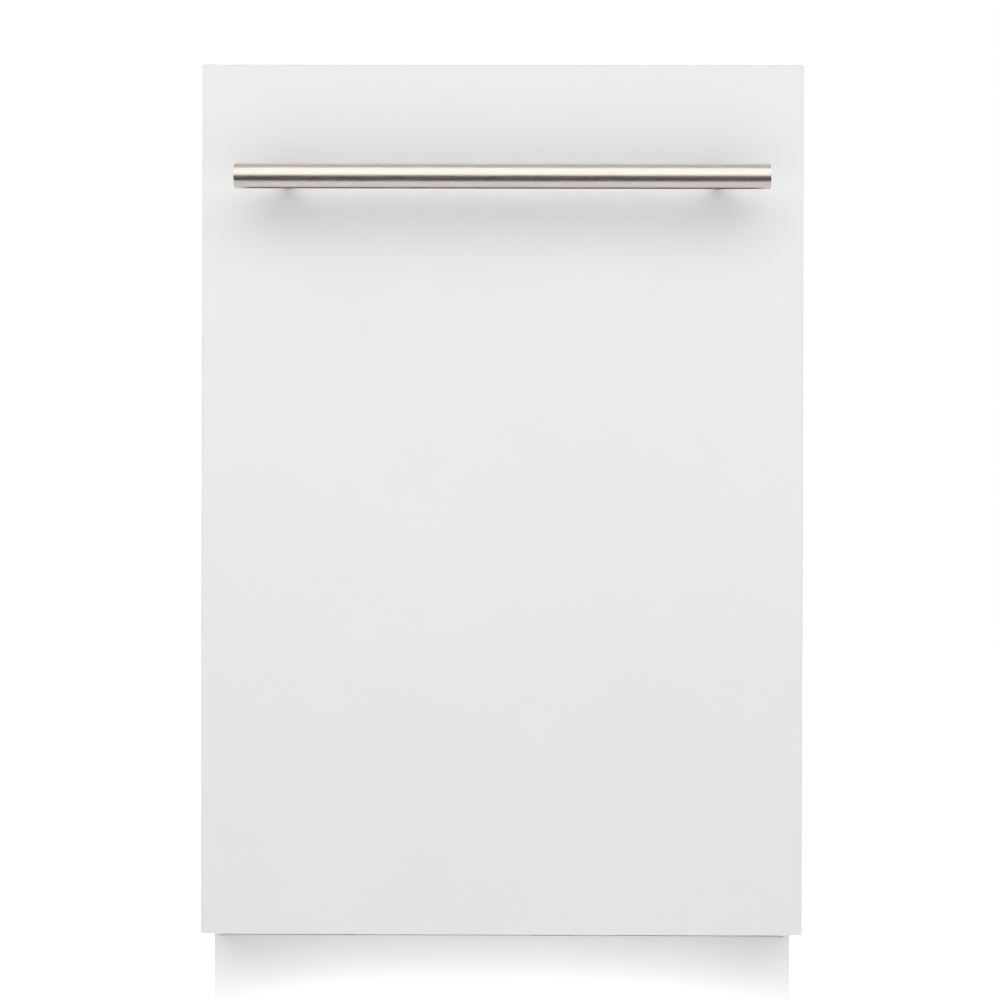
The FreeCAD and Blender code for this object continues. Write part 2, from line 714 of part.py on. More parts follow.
def junction_box():
    """Folded steel box for the mains wires, with a knockout in its rear face."""
    shell = cut("box_shell", block("box_out", 32, 88, 262, 319, 62, 108),
        block("box_in", 33.5, 86.5, 263.5, 317.5, 63.5, 120))
    lid = block("box_lid", 31, 89, 261, 319, 108.2, 109.6)
    knockout = rod("knockout", 11.1, "y", 60, 300, 86, 40)
    return node(group("box_and_lid", cut("box_open", shell, knockout), lid), "junction_box")


# ================================================================ door
def outer_panel():
    """Matte white door skin: a folded steel pan with two holes behind the handle posts."""
    body = body_of("panel_pan")
    face = sketch_on(body, "XZ_Plane", "panel_outline", "-panel_back")
    add_rectangle(face, "-unit_half", "panel_low", "unit_half", "panel_high")
    slab = pad(body, face, "panel_back - panel_face")
    soften(body, slab, 0.8, lambda e: e.BoundBox.YMax < d.panel_face + 0.01)
    mouth = sketch_on(body, "XZ_Plane", "panel_mouth", "-panel_back")
    add_rectangle(mouth, "-unit_half + panel_fold", "panel_low + panel_fold", "unit_half - panel_fold",
        "panel_high - panel_fold")
    pocket(body, mouth, "panel_skin + 1", backwards=True)
    inside = sketch_on(body, "XZ_Plane", "panel_inside", "-panel_back + panel_skin")
    add_rectangle(inside, "-unit_half + panel_skin", "panel_low + panel_skin", "unit_half - panel_skin",
        "panel_high - panel_skin")
    pocket(body, inside, "panel_back - panel_face - 2 * panel_skin", backwards=True)
    holes = sketch_on(body, "XZ_Plane", "panel_holes", "-panel_face + 5")
    for side in ("", "-"):
        add_circle(holes, f"{side}post_offset", "bar_height", 2.7)
    pocket(body, holes, 12)
    return node(body, "outer_panel")


def handle():
    """Round bar on two posts, whose ends are scooped to fit the bar."""
    body = body_of("bar_body")
    ring = sketch_on(body, "YZ_Plane", "bar_ring", "-bar_length / 2")
    add_circle(ring, "bar_centre", "bar_height", "bar_radius")
    length = pad(body, ring, "bar_length")
    soften(body, length, 0.6, lambda e: e.Curve.TypeId == "Part::GeomCircle")
    node(body, "handle_bar")
    scoop = rod("post_scoop", "bar_radius + 0.01", "x", 100, "bar_centre", "bar_height", 120)
    tap = rod("post_tap", 2.45, "y", "post_offset", "panel_face - 14", "bar_height", 20)
    blank = rod("post_blank", "post_radius", "y", "post_offset", "bar_centre", "bar_height",
        "panel_face - bar_centre - 0.01")
    post = cut("post_right", blank, scoop, tap)
    node(group("posts", post, mirrored("post_left", post)), "handle_posts")


def inner_door():
    """Stainless inner door: a thin pressed pan with a wide recess and a window for the dispenser."""
    shell = block("liner_out", "-liner_half", "liner_half", "panel_back + 0.1", "liner_face", "liner_low",
        "liner_high")
    dish = rounded("liner_dish", block("dish_out", "-recess_half", "recess_half",
        "liner_face - recess_depth", "liner_face + 5", "recess_low", "recess_high"), 24, along("y"))
    core = block("liner_in", "-liner_half + sheet", "liner_half - sheet", "panel_back - 5",
        "liner_face - sheet", "liner_low + sheet", "liner_high - sheet")
    dish_back = rounded("liner_dish_back", block("dish_in", "-recess_half - sheet",
        "recess_half + sheet", "liner_face - recess_depth - sheet", "liner_face + 5",
        "recess_low - sheet", "recess_high + sheet"), 25, along("y"))
    window = block("liner_window", "-disp_half - 1", "disp_half + 1", -235, -220, "disp_low - 1",
        "disp_high + 1")
    pressed = cut("liner_pressed", shell, dish)
    filling = cut("liner_filling", core, dish_back)
    return node(cut("liner", pressed, filling, window), "inner_door")


BUTTONS = (("power_button", -176), ("program_button", -136), ("delay_button", 136), ("start_button", 176))


def control_strip():
    """Moulded strip along the top edge of the door, with its buttons, window and circuit board."""
    case = rounded("strip_soft", block("strip_out", "-strip_half", "strip_half", "panel_back + 0.5",
        "liner_face - 1", 828.2, "strip_top"), 2, along("x"))
    tools = [block("strip_in", "-strip_half + 2", "strip_half - 2", "panel_back + 2.5", "liner_face - 3",
        820, "strip_top - 2")]
    for label, x in BUTTONS:
        tools.append(block(label + "_hole", f"{x} - button_long / 2", f"{x} + button_long / 2",
                           "button_row - button_wide / 2", "button_row + button_wide / 2", 835, 850))
    tools.append(block("window_hole", -46, 46, -240, -226, 835, 850))
    tools.append(block("tongue_slot", -15, 15, -225, -205, 831.5, 835.5))
    node(cut("strip", case, *tools), "control_fascia")
    for label, x in BUTTONS:
        cap = rounded(label + "_soft", block(label + "_cap", f"{x} - button_long / 2 + 0.3",
            f"{x} + button_long / 2 - 0.3", "button_row - button_wide / 2 + 0.3",
            "button_row + button_wide / 2 - 0.3", 838.5, "strip_top + 0.7"), 0.8,
            lambda e: e.BoundBox.ZMin > d.strip_top)
        skirt = block(label + "_skirt", f"{x} - button_long / 2 - 1.5", f"{x} + button_long / 2 + 1.5",
            "button_row - button_wide / 2 - 1.5", "button_row + button_wide / 2 + 1.5", 837.2, 839)
        plunger = rod(label + "_plunger", 2, "z", x, "button_row", 834, 4)
        node(fuse(label + "_whole", cap, skirt, plunger), label)
    node(block("window", -45.8, 45.8, -239.8, -226.2, "strip_top - 1.9", "strip_top"), "display_window")
    board = block("board", -200, 200, -246, -222, 829, 830.6)
    chips = [block(f"chip_{i}", x, x + w, -242, -228, 830.5, top) for i, (x, w, top) in
             enumerate(((-100, 26, 833), (-60, 14, 834.5), (40, 20, 833), (80, 12, 836)))]
    switches = [block(f"switch_{i}", f"{x} - 3", f"{x} + 3", "button_row - 3", "button_row + 3", 830.5,
        832.4) for i, (label, x) in enumerate(BUTTONS)]
    node(fuse("board_set", board, *chips, *switches), "control_board")


def latch():
    """Steel tongue on the door, and the catch in its housing under the front brace."""
    tongue = cut("tongue", block("tongue_plate", -12, 12, -221, -190, 832, 834.4),
        block("tongue_eye", -6, 6, -204, -195, 825, 840))
    node(tongue, "latch_tongue")
    case = block("catch_case", -34, 34, -203, -174.5, 817, "brace_low")
    hollow = block("catch_room", -31, 31, -210, -177, 819, 835.81)
    shelf = rod("catch_axle", 2, "x", -33, -182, 825, 66)
    node(fuse("catch_housing", cut("catch_shell", case, hollow), shelf), "latch_housing")
    lever = fuse("lever_solid", block("lever_arm", -8, 8, -200, -182, 823, 827),
        rod("lever_eye", 5, "x", -8, -182, 825, 16), rod("lever_nose", 4, "x", -8, -198, 827, 16))
    node(cut("lever", lever, rod("lever_bore", 2.05, "x", -20, -182, 825, 40)), "latch_catch")


def dispenser():
    """Detergent cup with its flap, and the rinse-aid port with its turning cap."""
    body = block("disp_body", "-disp_half", "disp_half", -248, "disp_face", "disp_low", "disp_high")
    flange = rounded("disp_flange_soft", block("disp_flange", "-disp_half - 7", "disp_half + 7", -226.8,
        "disp_face", "disp_low - 7", "disp_high + 7"), 10, along("y"))
    cup = rounded("disp_cup_soft", block("disp_cup", -72, 8, -241, -220, 464, 534), 8, along("y"))
    port = rod("rinse_port", 14.5, "y", "rinse_across", -232, "rinse_height", 20)
    node(cut("dispenser", fuse("dispenser_solid", body, flange), cup, port), "detergent_dispenser")
    flap = rounded("flap_soft", block("flap", -77, 13, -223.7, -221.2, "lid_low", "lid_high"), 6,
        along("y"))
    grip = block("flap_grip", -50, -14, -221.3, -219.4, "lid_high - 12", "lid_high - 8")
    node(fuse("flap_whole", flap, grip), "dispenser_lid")
    cap = fuse("rinse_solid", rod("rinse_disc", 17, "y", "rinse_across", -223.7, "rinse_height", 2.4),
        rod("rinse_stem", 13.5, "y", "rinse_across", -230, "rinse_height", 7),
        block("rinse_grip", "rinse_across - 2.2", "rinse_across + 2.2", -222, -218.6,
        "rinse_height - 13", "rinse_height + 13"))
    node(cap, "rinse_aid_cap")


def hinges():
    """A flat arm each side of the inner door, which turns on a pin in a bracket fixed to the base."""
    arm = fuse(
        "arm_plates",
        block("arm_upright", 210, 212.5, -249, -224, 200, 430),
        rod("arm_eye", 14.5, "x", 210, "hinge_depth", "hinge_height", 2.5),
        block("arm_lever", 210, 212.5, "hinge_depth", -190, 190.2, 203),
        block("arm_spacer", 208, 210.5, -247, -228, 232, 424),
    )
    bored = cut("arm_right", arm, rod("arm_bore", "hinge_pin + 0.06", "x", 200, "hinge_depth",
        "hinge_height", 30), rod("arm_hook_hole", 2, "x", 200, -195, 193, 30))
    node(group("arms", bored, mirrored("arm_left", bored)), "hinge_arms")
    plate = fuse(
        "bracket_plates",
        rod("bracket_eye", 14, "x", 214, "hinge_depth", "hinge_height", 2.5),
        block("bracket_web", 214, 216.5, "hinge_depth", -150, 191, 219),
        block("bracket_leg", 214, 216.5, -178, -140, 120, 192),
        block("bracket_foot", 214, 217.2, -178, -140, 120, 122.5),
        rod("bracket_pin", "hinge_pin", "x", 208.8, "hinge_depth", "hinge_height", 6),
    )
    node(group("pivot_brackets", plate, mirrored("pivot_left", plate)), "hinge_brackets")


SPRING_LINE = 208.7  # the springs pull beside the arms, not through them


def spring_shape(side):
    """A balance spring: a straight hook wire from the arm, then a close coil to its post."""
    wire, coil, start, turns, pitch = 0.9, 5.2, -60.0, 24, 4.2
    helix = Part.makeHelix(pitch, pitch * turns, coil)
    ring = Part.Wire(Part.Circle(Vector(coil, 0, 0), Vector(0, 1, 0), wire).toShape())
    spring = Part.Wire(helix).makePipeShell([ring], True, True)
    spring.rotate(Vector(), Vector(1, 0, 0), -90)
    spring.translate(Vector(side * SPRING_LINE, start, 193))
    return spring


def door_springs():
    """Two coil springs that balance the door, each hooked to an arm by a steel rod."""
    pieces = []
    for name, side in (("right", 1), ("left", -1)):
        pieces.append(free_form("spring_" + name, spring_shape(side)))
        x = side * SPRING_LINE
        hook = wire_between((side * 207.2, -195, 193), (side * 213, -195, 193), 1.2)
        pull = wire_between((x, -195, 193), (x, -58, 193), 1.2)
        pieces.append(free_form("spring_rod_" + name, hook.fuse(pull).removeSplitter()))
        pieces.append(free_form("spring_tail_" + name, wire_between((x, 42.5, 193), (x, 45, 193), 3)))
    return node(group("springs", *pieces), "door_springs")


# ================================================================ racks
def loop(half, front, rear, height, radius, corner):
    """A wire round a rack at one height: four straight runs and four quarter bends."""
    solids = []
    ends = [(half - corner, front + corner), (half - corner, rear - corner),
        (-half + corner, rear - corner), (-half + corner, front + corner)]
    for number, (x, y) in enumerate(ends):
        turn = 90 * number
        outward = Vector(math.cos(math.radians(turn)), math.sin(math.radians(turn)), 0)
        forward = Vector(-outward.y, outward.x, 0)
        after = Vector(*ends[(number + 1) % 4], height)
        here = Vector(x, y, height)
        solids.append(Part.makeCylinder(radius, (after - here).Length, here + outward * corner, forward))
        bend = Part.makeTorus(corner, radius, after, Vector(0, 0, 1), -180, 180, 90)
        bend.rotate(after, Vector(0, 0, 1), turn)
        solids.append(bend)
    return solids


def spread(low, high, count):
    return [low + (high - low) * i / (count - 1) for i in range(count)]


def wire_rack(half, floor, rim, long_count, cross_count, tine_rows, tine_height, tine_span):
    """Wires of one rack, welded in layers: loops, floor wires both ways, uprights and rows of tines."""
    front, rear, r = d.rack_front, d.rack_rear, d.wire
    weld = 0.1  # how far welded wires sink into each other
    step = 2 * r - weld
    solids = loop(half, front, rear, rim, d.rim_wire, 22)
    solids += loop(half, front, rear, floor + 14, r, 22)
    solids += loop(half, front, rear, (floor + rim) / 2 + 12, r, 22)
    inset = d.rim_wire + r - weld
    lengthwise = spread(-half + 26, half - 26, long_count)
    crosswise = spread(front + 28, rear - 28, cross_count)
    for x in lengthwise:
        solids.append(wire_between((x, front + inset, floor), (x, rear - inset, floor), r))
    for y in crosswise:
        solids.append(wire_between((-half + inset, y, floor + step), (half - inset, y, floor + step), r))
    upright_low, upright_high = floor - r, rim + d.rim_wire * 0.4
    for x in lengthwise:
        for y in (front + inset, rear - inset):
            solids.append(wire_between((x, y, floor + r - weld), (x, y, upright_high), r))
    for y in crosswise:
        for x in (-half + inset, half - inset):
            solids.append(wire_between((x, y, floor + step + r - weld), (x, y, upright_high), r))
    tine_low = floor + step + r - weld
    for x in tine_rows:
        for y in crosswise[tine_span[0]:tine_span[1]]:
            solids.append(wire_between((x, y, tine_low), (x, y, floor + tine_height), r * 0.9))
    return Part.makeCompound(solids)


def racks():
    """The upper and the lower wire rack."""
    upper = wire_rack(d.high_half, d.high_floor, d.high_rim, 9, 11, (-112, -48, 48, 112), 62, (0, 11))
    node(free_form("upper_wires", upper), "upper_rack")
    lower = wire_rack(d.low_half, d.low_floor, d.low_rim, 9, 11, (-110, -50, 50, 110), 118, (3, 11))
    node(free_form("lower_wires", lower), "lower_rack")


def rail_members():
    """Three nested channels each side: fixed to the tub, sliding in that, and on the upper rack."""
    def channel(name, web_in, web_out, lips, low, high, front, rear):
        parts = [block(name + "_web", web_in, web_out, front, rear, low, high)]
        for end, z0, z1 in (("low", low, f"{low} + 1.2"), ("high", f"{high} - 1.2", high)):
            parts.append(block(f"{name}_lip_{end}", lips[0], lips[1], front, rear, z0, z1))
        right = fuse(name, *parts)
        return group(name + "_pair", right, mirrored(name + "_left", right))

    node(channel("outer_rail", 200.6, 201.8, (196, 201.8), "rail_low", "rail_high", "rail_front",
        "rail_rear"), "fixed_rails")
    node(channel("middle_rail", 196.6, 197.8, (193.6, 200.2), "rail_low + 2.2", "rail_high - 2.2",
        "rail_front", "rail_rear"), "rail_slides")
    inner = channel("inner_rail", 189.6, 190.8, (189.6, 195.4), "rail_low + 4.6", "rail_high - 4.6",
        "rail_front", "rail_rear")
    pads = []
    for number, y in enumerate((-130, 175)):
        pads.append(block(f"adjuster_{number}", "high_half + wire + 0.2", 189.4, y, f"{y} + 44",
            "rail_low - 6", "rail_high + 4"))
    clips = [mirrored(f"adjuster_left_{i}", p) for i, p in enumerate(pads)]
    node(group("rack_rail_set", inner, *pads, *clips), "rack_rails")


def manifold():
    """Water pipe under the upper rack, from the rear socket to the bearing pin of the upper arm."""
    pipe = rod("manifold_pipe", 8.5, "y", 0, "arm_depth", 548, "258 - arm_depth")
    mouth = rod("manifold_mouth", 9.6, "y", 0, 248, 548, 13.4)
    hub = rod("manifold_hub", 17, "z", 0, "arm_depth", 537.5, 19.7)
    pin = rod("manifold_pin", "arm_pin", "z", 0, "arm_depth", 524, 14)
    bore = rod("manifold_bore", 6, "y", 0, "arm_depth + 10", 548, 230)
    return node(cut("manifold_open", fuse("manifold_solid", pipe, mouth, hub, pin), bore),
        "upper_arm_manifold")


def wheels():
    """Lower-rack wheels, a pair on each axle line, and the brackets that carry them."""
    for name, y in (("front_wheels", "front_axle"), ("rear_wheels", "rear_axle")):
        body = body_of(name + "_turned")
        half = sketch_on(body, "XY_Plane", name + "_profile")
        add_polygon(half, [("wheel_in", "axle_radius + 0.06"), ("wheel_out", "axle_radius + 0.06"),
            ("wheel_out", 8), ("wheel_out - 2", 9), ("wheel_out - 2", "wheel_radius - 3"),
            ("wheel_out", "wheel_radius - 2"), ("wheel_out", "wheel_radius - 0.8"),
            ("wheel_out - 0.8", "wheel_radius"), ("wheel_in + 0.8", "wheel_radius"),
            ("wheel_in", "wheel_radius - 0.8")])
        revolve(body, half, "H_Axis")
        doc.recompute()
        body.setExpression("Placement.Base.y", bound(y))
        body.setExpression("Placement.Base.z", bound("ledge_top + wheel_radius + 0.3"))
        node(group(name + "_pair", body, mirrored(name + "_left", body)), name)
    holders = []
    for name, y in (("front", "front_axle"), ("rear", "rear_axle")):
        web = block(f"{name}_web", "low_half + wire + 1", "low_half + wire + 5.5", f"{y} - 17",
            f"{y} + 17", "ledge_top + 6", "low_floor + 34")
        hook = block(f"{name}_hook", "low_half - 12", "low_half + wire + 5.5", f"{y} - 12", f"{y} + 12",
            "low_floor - 9", "low_floor - 5")
        axle = rod(f"{name}_axle", "axle_radius", "x", "low_half + wire + 3", y,
            "ledge_top + wheel_radius + 0.3", "wheel_out - low_half - wire - 3")
        cap = rod(f"{name}_axle_cap", 6, "x", "wheel_out + 0.5", y, "ledge_top + wheel_radius + 0.3", 1.5)
        stem = rod(f"{name}_axle_end", "axle_radius", "x", "wheel_out - 1", y,
            "ledge_top + wheel_radius + 0.3", 2)
        right = fuse(f"{name}_holder", web, hook, axle, cap, stem)
        holders += [right, mirrored(f"{name}_holder_left", right)]
    node(group("holders", *holders), "wheel_brackets")


def cutlery_basket():
    """Open basket with six compartments and a carrying handle across the middle."""
    shell = rounded("basket_soft", block("basket_out", "-basket_half", "basket_half", "basket_front",
        "basket_rear", "basket_low", "basket_high"), 8, along("z"))
    rooms = []
    wide = 2 * d.basket_half - 4
    for column in range(3):
        for rank in range(2):
            x0 = -d.basket_half + 2 + column * (wide + 2) / 3
            y0 = d.basket_front + 2 + rank * (d.basket_rear - d.basket_front - 2) / 2
            x1 = x0 + (wide + 2) / 3 - 2
            y1 = y0 + (d.basket_rear - d.basket_front - 2) / 2 - 2
            rooms.append(block(f"basket_room_{column}{rank}", x0, x1, y0, y1, "basket_low + 2",
                "basket_high + 5"))
    middle = (d.basket_front + d.basket_rear) / 2
    grip = [
        block("basket_grip_bar", -60, 60, middle - 5, middle + 5, "basket_high + 30", "basket_high + 38"),
        block("basket_grip_right", 52, 60, middle - 1, middle + 1, "basket_high - 20", "basket_high + 31"),
        block("basket_grip_left", -60, -52, middle - 1, middle + 1, "basket_high - 20", "basket_high + 31"),
    ]
    return node(fuse("basket_whole", cut("basket_shell", shell, *rooms), *grip), "cutlery_basket")


# ================================================================ small moving pieces and fasteners
def overflow_float():
    """Mushroom float that rises on its guide."""
    body = body_of("float_turned")
    half = sketch_on(body, "XZ_Plane", "float_profile")
    add_polygon(half, [(0, 229), (6.6, 229), (6.6, 217), (18, 217), (18, 234), (13, 239), (0, 239)])
    revolve(body, half)
    return node(place(body, -140, -150, 0), "overflow_float")


def feet():
    """Three screw feet: two at the front, one at the rear."""
    for label, x, y in (("front_left_foot", "-foot_across", "foot_front"),
            ("front_right_foot", "foot_across", "foot_front"), ("rear_foot", 0, "foot_rear")):
        body = body_of(label + "_turned")
        half = sketch_on(body, "XZ_Plane", label + "_profile")
        add_polygon(half, [(0, 0), ("foot_radius - 1", 0), ("foot_radius", 1), ("foot_radius", 5),
            ("foot_radius - 5", 8), (9, 8), (9, 14), ("stem_radius", 14), ("stem_radius", 62),
            ("stem_radius - 1", 63), (0, 63)])
        revolve(body, half)
        node(place(body, x, y, 0), label)


def screw(name, x, y, z, direction, head=4, shank=2, length=8):
    """A pan-head screw whose head's underside is at the point given."""
    axis = Vector(*direction)
    seat = Vector(x, y, z)
    top = Part.makeCylinder(head, 2.2, seat, axis * -1)
    top = top.makeFillet(0.8, [e for e in top.Edges if e.Curve.TypeId == "Part::GeomCircle"
                               and (e.Curve.Center - seat).Length > 1])
    slot = Part.makeBox(1, 1, 1)
    slot = slot.transformGeometry(FreeCAD.Matrix(1.2, 0, 0, -0.6, 0, 1.2, 0, -0.6, 0, 0, 1.4, 0))
    slot.Placement = Placement(seat - axis * 3.4, Rotation(Vector(0, 0, 1), axis))
    body = top.fuse(Part.makeCylinder(shank, length, seat, axis)).cut(slot)
    return free_form(name, body)


def fasteners():
    """Screws of the case and of the door."""
    case = []
    for side in (-1, 1):
        for number, (y, z) in enumerate(((-150, 150), (60, 150), (270, 150))):
            case.append(screw(f"case_screw_{side}_{number}", side * (d.side_out + 0.02), y, z,
                (-side, 0, 0), length=1.1, shank=1.5))
        case.append(screw(f"kick_screw_{side}", side * 180, d.kick_face - 0.02, 60, (0, 1, 0), length=1,
            shank=1.5))
        case.append(screw(f"tab_screw_{side}", side * 150, -168, d.brace_top + 1.52, (0, 0, -1),
            length=1.4, shank=1.8))
    node(group("case_screw_set", *case), "case_screws")
    door = []
    for side in (-1, 1):
        door.append(screw(f"handle_screw_{side}", side * d.post_offset, d.panel_face + 1.02,
            d.bar_height, (0, -1, 0), head=5, shank=2.4, length=12))
        for number, z in enumerate((240, 330, 410)):
            door.append(screw(f"arm_screw_{side}_{number}", side * 212.52, -237, z, (-side, 0, 0),
                length=2.3, shank=1.6))
    node(group("door_screw_set", *door), "door_screws")


# ================================================================ build and write
base_pan()
toe_kick()
side_panel()
insulation_mats()
frame_braces()
counter_brackets()
tub_wrap()
tub_back()
tub_floor()
tub_gasket()
feed_pipe()
sump()
filter_plate()
filter_cup()
arm_post()
spray_arm("low_blade", "lower_spray_arm", "low_arm", 243.8, 264, 240, 261, True)
spray_arm("high_blade", "upper_spray_arm", "high_arm", 517, 537.2, 522, 545, False)
pumps()
water_hoses()
inlet_valve()
junction_box()
outer_panel()
handle()
inner_door()
control_strip()
latch()
dispenser()
hinges()
door_springs()
racks()
rail_members()
manifold()
wheels()
cutlery_basket()
overflow_float()
feet()
fasteners()
doc.recompute()

failed = [o.Label for o in doc.Objects if {"Invalid", "Error"} & set(o.State)]
if failed:
    raise RuntimeError(f"these objects failed: {failed}")
os.makedirs("parts", exist_ok=True)
for part in NODES:
    shape = part.Shape
    if shape.isNull() or not shape.isValid() or not shape.Solids:
        raise RuntimeError(f"{part.Label} has no valid solid")
    shape.exportStep(os.path.join("parts", part.Label + ".step"))
print(len(NODES), "nodes")
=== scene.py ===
import math

import bpy
from mathutils import Matrix, Vector, noise


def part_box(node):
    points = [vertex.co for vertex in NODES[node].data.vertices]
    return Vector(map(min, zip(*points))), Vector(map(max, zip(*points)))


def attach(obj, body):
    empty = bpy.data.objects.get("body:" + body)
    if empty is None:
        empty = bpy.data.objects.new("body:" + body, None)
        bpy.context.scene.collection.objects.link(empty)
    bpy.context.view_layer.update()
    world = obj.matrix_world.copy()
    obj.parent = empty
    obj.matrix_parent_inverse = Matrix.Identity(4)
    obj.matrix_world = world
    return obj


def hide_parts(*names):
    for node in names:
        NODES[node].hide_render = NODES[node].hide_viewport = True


# The looks of a slim built-in dishwasher: white door panel, brushed bar handle, stainless tub, wire racks.
# Everything is in metres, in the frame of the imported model.
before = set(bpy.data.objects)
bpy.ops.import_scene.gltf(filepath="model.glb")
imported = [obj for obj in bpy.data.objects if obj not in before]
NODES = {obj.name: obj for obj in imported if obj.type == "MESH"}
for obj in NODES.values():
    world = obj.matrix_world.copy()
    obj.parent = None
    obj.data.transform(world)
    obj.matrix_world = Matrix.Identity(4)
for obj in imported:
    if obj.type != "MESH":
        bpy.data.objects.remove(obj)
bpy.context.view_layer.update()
MM = 0.001
WIRE = 2.0 * MM  # radius of the racks' thin wires
RIM = 2.6 * MM  # radius of the racks' rims
KEY_AWAY = 6.0  # from the bar to both front lights
KEY_GLOW = 0.84  # radiance of the softbox
ACCENT_GLOW = 1.46  # radiance of the smaller light that draws the bar's shadow
KICK_POWER = 0.3  # watts
REAR_POWER = 28  # watts
WORLD_SHINE = 0.6  # strength of the surroundings in reflections
WORLD_LIGHT = 0.04  # and as a light on matt surfaces
FLOOR_GLOW = 0.26  # emission of the floor under the object
FAR_GLOW = 0.4  # and what the floor well in front adds
FLAG_AWAY = 1.19  # from the bar to the top edge of the front flag


# ---------------------------------------------------------------- materials
def add(tree, kind, inputs=None, **settings):
    """A shader node; an input is a value or another node's output."""
    made = tree.nodes.new(kind)
    for key, value in settings.items():
        setattr(made, key, value)
    for key, value in (inputs or {}).items():
        if isinstance(value, bpy.types.NodeSocket):
            tree.links.new(value, made.inputs[key])
        else:
            made.inputs[key].default_value = value
    return made


def blended(tree, low, high, factor):
    """A colour between low and high."""
    mix = add(tree, "ShaderNodeMix", data_type="RGBA")
    mix.inputs[6].default_value = (*low, 1)
    mix.inputs[7].default_value = (*high, 1)
    tree.links.new(factor, mix.inputs[0])
    return mix.outputs[2]


def ranged(tree, value, low, high, start=0.3, stop=0.7):
    """value from start to stop becomes low to high."""
    made = add(tree, "ShaderNodeMapRange", {"Value": value, "From Min": start, "From Max": stop,
        "To Min": low, "To Max": high})
    return made.outputs["Result"]


def material(name, low, high, rough, metallic=0.0, grain=40, stretch=(1, 1, 1), relief=0.0, peel=600,
             peel_stretch=(1, 1, 1), strength=0.5, pattern="noise", **shader):
    """A surface whose colour, gloss and relief all vary.

    low and high are its colours, rough its least and most roughness, grain its colour patches to a metre,
    peel the same for the relief, and relief its height in metres.
    """
    made = bpy.data.materials.new(name)
    made.use_nodes = True
    tree = made.node_tree
    surface = tree.nodes["Principled BSDF"]
    place = add(tree, "ShaderNodeTexCoord").outputs["Object"]
    coarse = add(tree, "ShaderNodeMapping", {"Vector": place, "Scale": stretch}).outputs["Vector"]
    fine = add(tree, "ShaderNodeMapping", {"Vector": place, "Scale": peel_stretch}).outputs["Vector"]
    patches = add(tree, "ShaderNodeTexNoise", {"Vector": coarse, "Scale": grain, "Detail": 4.0,
        "Roughness": 0.6}).outputs["Fac"]
    tone = patches
    if pattern == "spangle":
        cells = add(tree, "ShaderNodeTexVoronoi", {"Vector": coarse, "Scale": grain * 2.2},
            distance="CHEBYCHEV")
        tone = add(tree, "ShaderNodeSeparateColor", {"Color": cells.outputs["Color"]}).outputs[0]
    if pattern == "fibre":
        threads = add(tree, "ShaderNodeTexNoise",
            {"Vector": fine, "Scale": peel, "Detail": 8.0, "Distortion": 2.5}).outputs["Fac"]
        tone = add(tree, "ShaderNodeMath", {0: threads, 1: patches}, operation="MULTIPLY").outputs[0]
        tone = ranged(tree, tone, 0, 1, 0.1, 0.4)
    if pattern == "tracks":
        tone = add(tree, "ShaderNodeTexBrick", {"Vector": coarse, "Scale": grain,
            "Mortar Size": 0.06}).outputs["Fac"]
    share = ranged(tree, tone, 0, 1) if pattern != "spangle" else tone
    tree.links.new(blended(tree, low, high, share), surface.inputs["Base Color"])
    tree.links.new(ranged(tree, tone, rough[0], rough[1]), surface.inputs["Roughness"])
    surface.inputs["Metallic"].default_value = metallic
    if relief:
        bumps = add(tree, "ShaderNodeTexNoise", {"Vector": fine, "Scale": peel, "Detail": 3.0,
            "Roughness": 0.55}).outputs["Fac"]
        raised = add(tree, "ShaderNodeBump", {"Height": bumps, "Strength": strength, "Distance": relief})
        tree.links.new(raised.outputs["Normal"], surface.inputs["Normal"])
    for key, value in shader.items():
        surface.inputs[key.replace("_", " ")].default_value = value
    return made


def brushed(name, low, high, along, rough, lines=900, metallic=1.0, **more):
    """Metal brushed along one axis: long thin streaks of colour and relief."""
    stretch = tuple(0.03 if axis == along else 1.0 for axis in "xyz")
    return material(name, low, high, rough, metallic=metallic, grain=lines, stretch=stretch,
        relief=0.00003, peel=lines * 1.6, peel_stretch=stretch, strength=0.35, **more)


def perforated(name, low, high, rough, pitch, metallic=1.0):
    """Sheet with rows of small holes, as sunk relief and as painted shade: the colour goes near black in
    each hole.
    """
    made = material(name, low, high, rough, metallic=metallic, grain=60, relief=0.0)
    tree = made.node_tree
    surface = tree.nodes["Principled BSDF"]
    place = add(tree, "ShaderNodeTexCoord").outputs["Object"]
    dots = add(tree, "ShaderNodeTexVoronoi", {"Vector": place, "Scale": 1 / pitch, "Randomness": 0.0})
    hole_relief_and_shade = ranged(tree, dots.outputs["Distance"], 1, 0, 0.24, 0.32)
    base = surface.inputs["Base Color"].links[0].from_socket
    # painted shade: inside each hole the colour turns near black, standing in for the dark seen through it
    mix = add(tree, "ShaderNodeMix", data_type="RGBA")
    tree.links.new(hole_relief_and_shade, mix.inputs[0])
    tree.links.new(base, mix.inputs[6])
    mix.inputs[7].default_value = (0.012, 0.012, 0.014, 1)
    tree.links.new(mix.outputs[2], surface.inputs["Base Color"])
    sunk = add(tree, "ShaderNodeBump", {"Height": hole_relief_and_shade, "Strength": 0.8, "Distance": -0.0005})
    tree.links.new(sunk.outputs["Normal"], surface.inputs["Normal"])
    return made


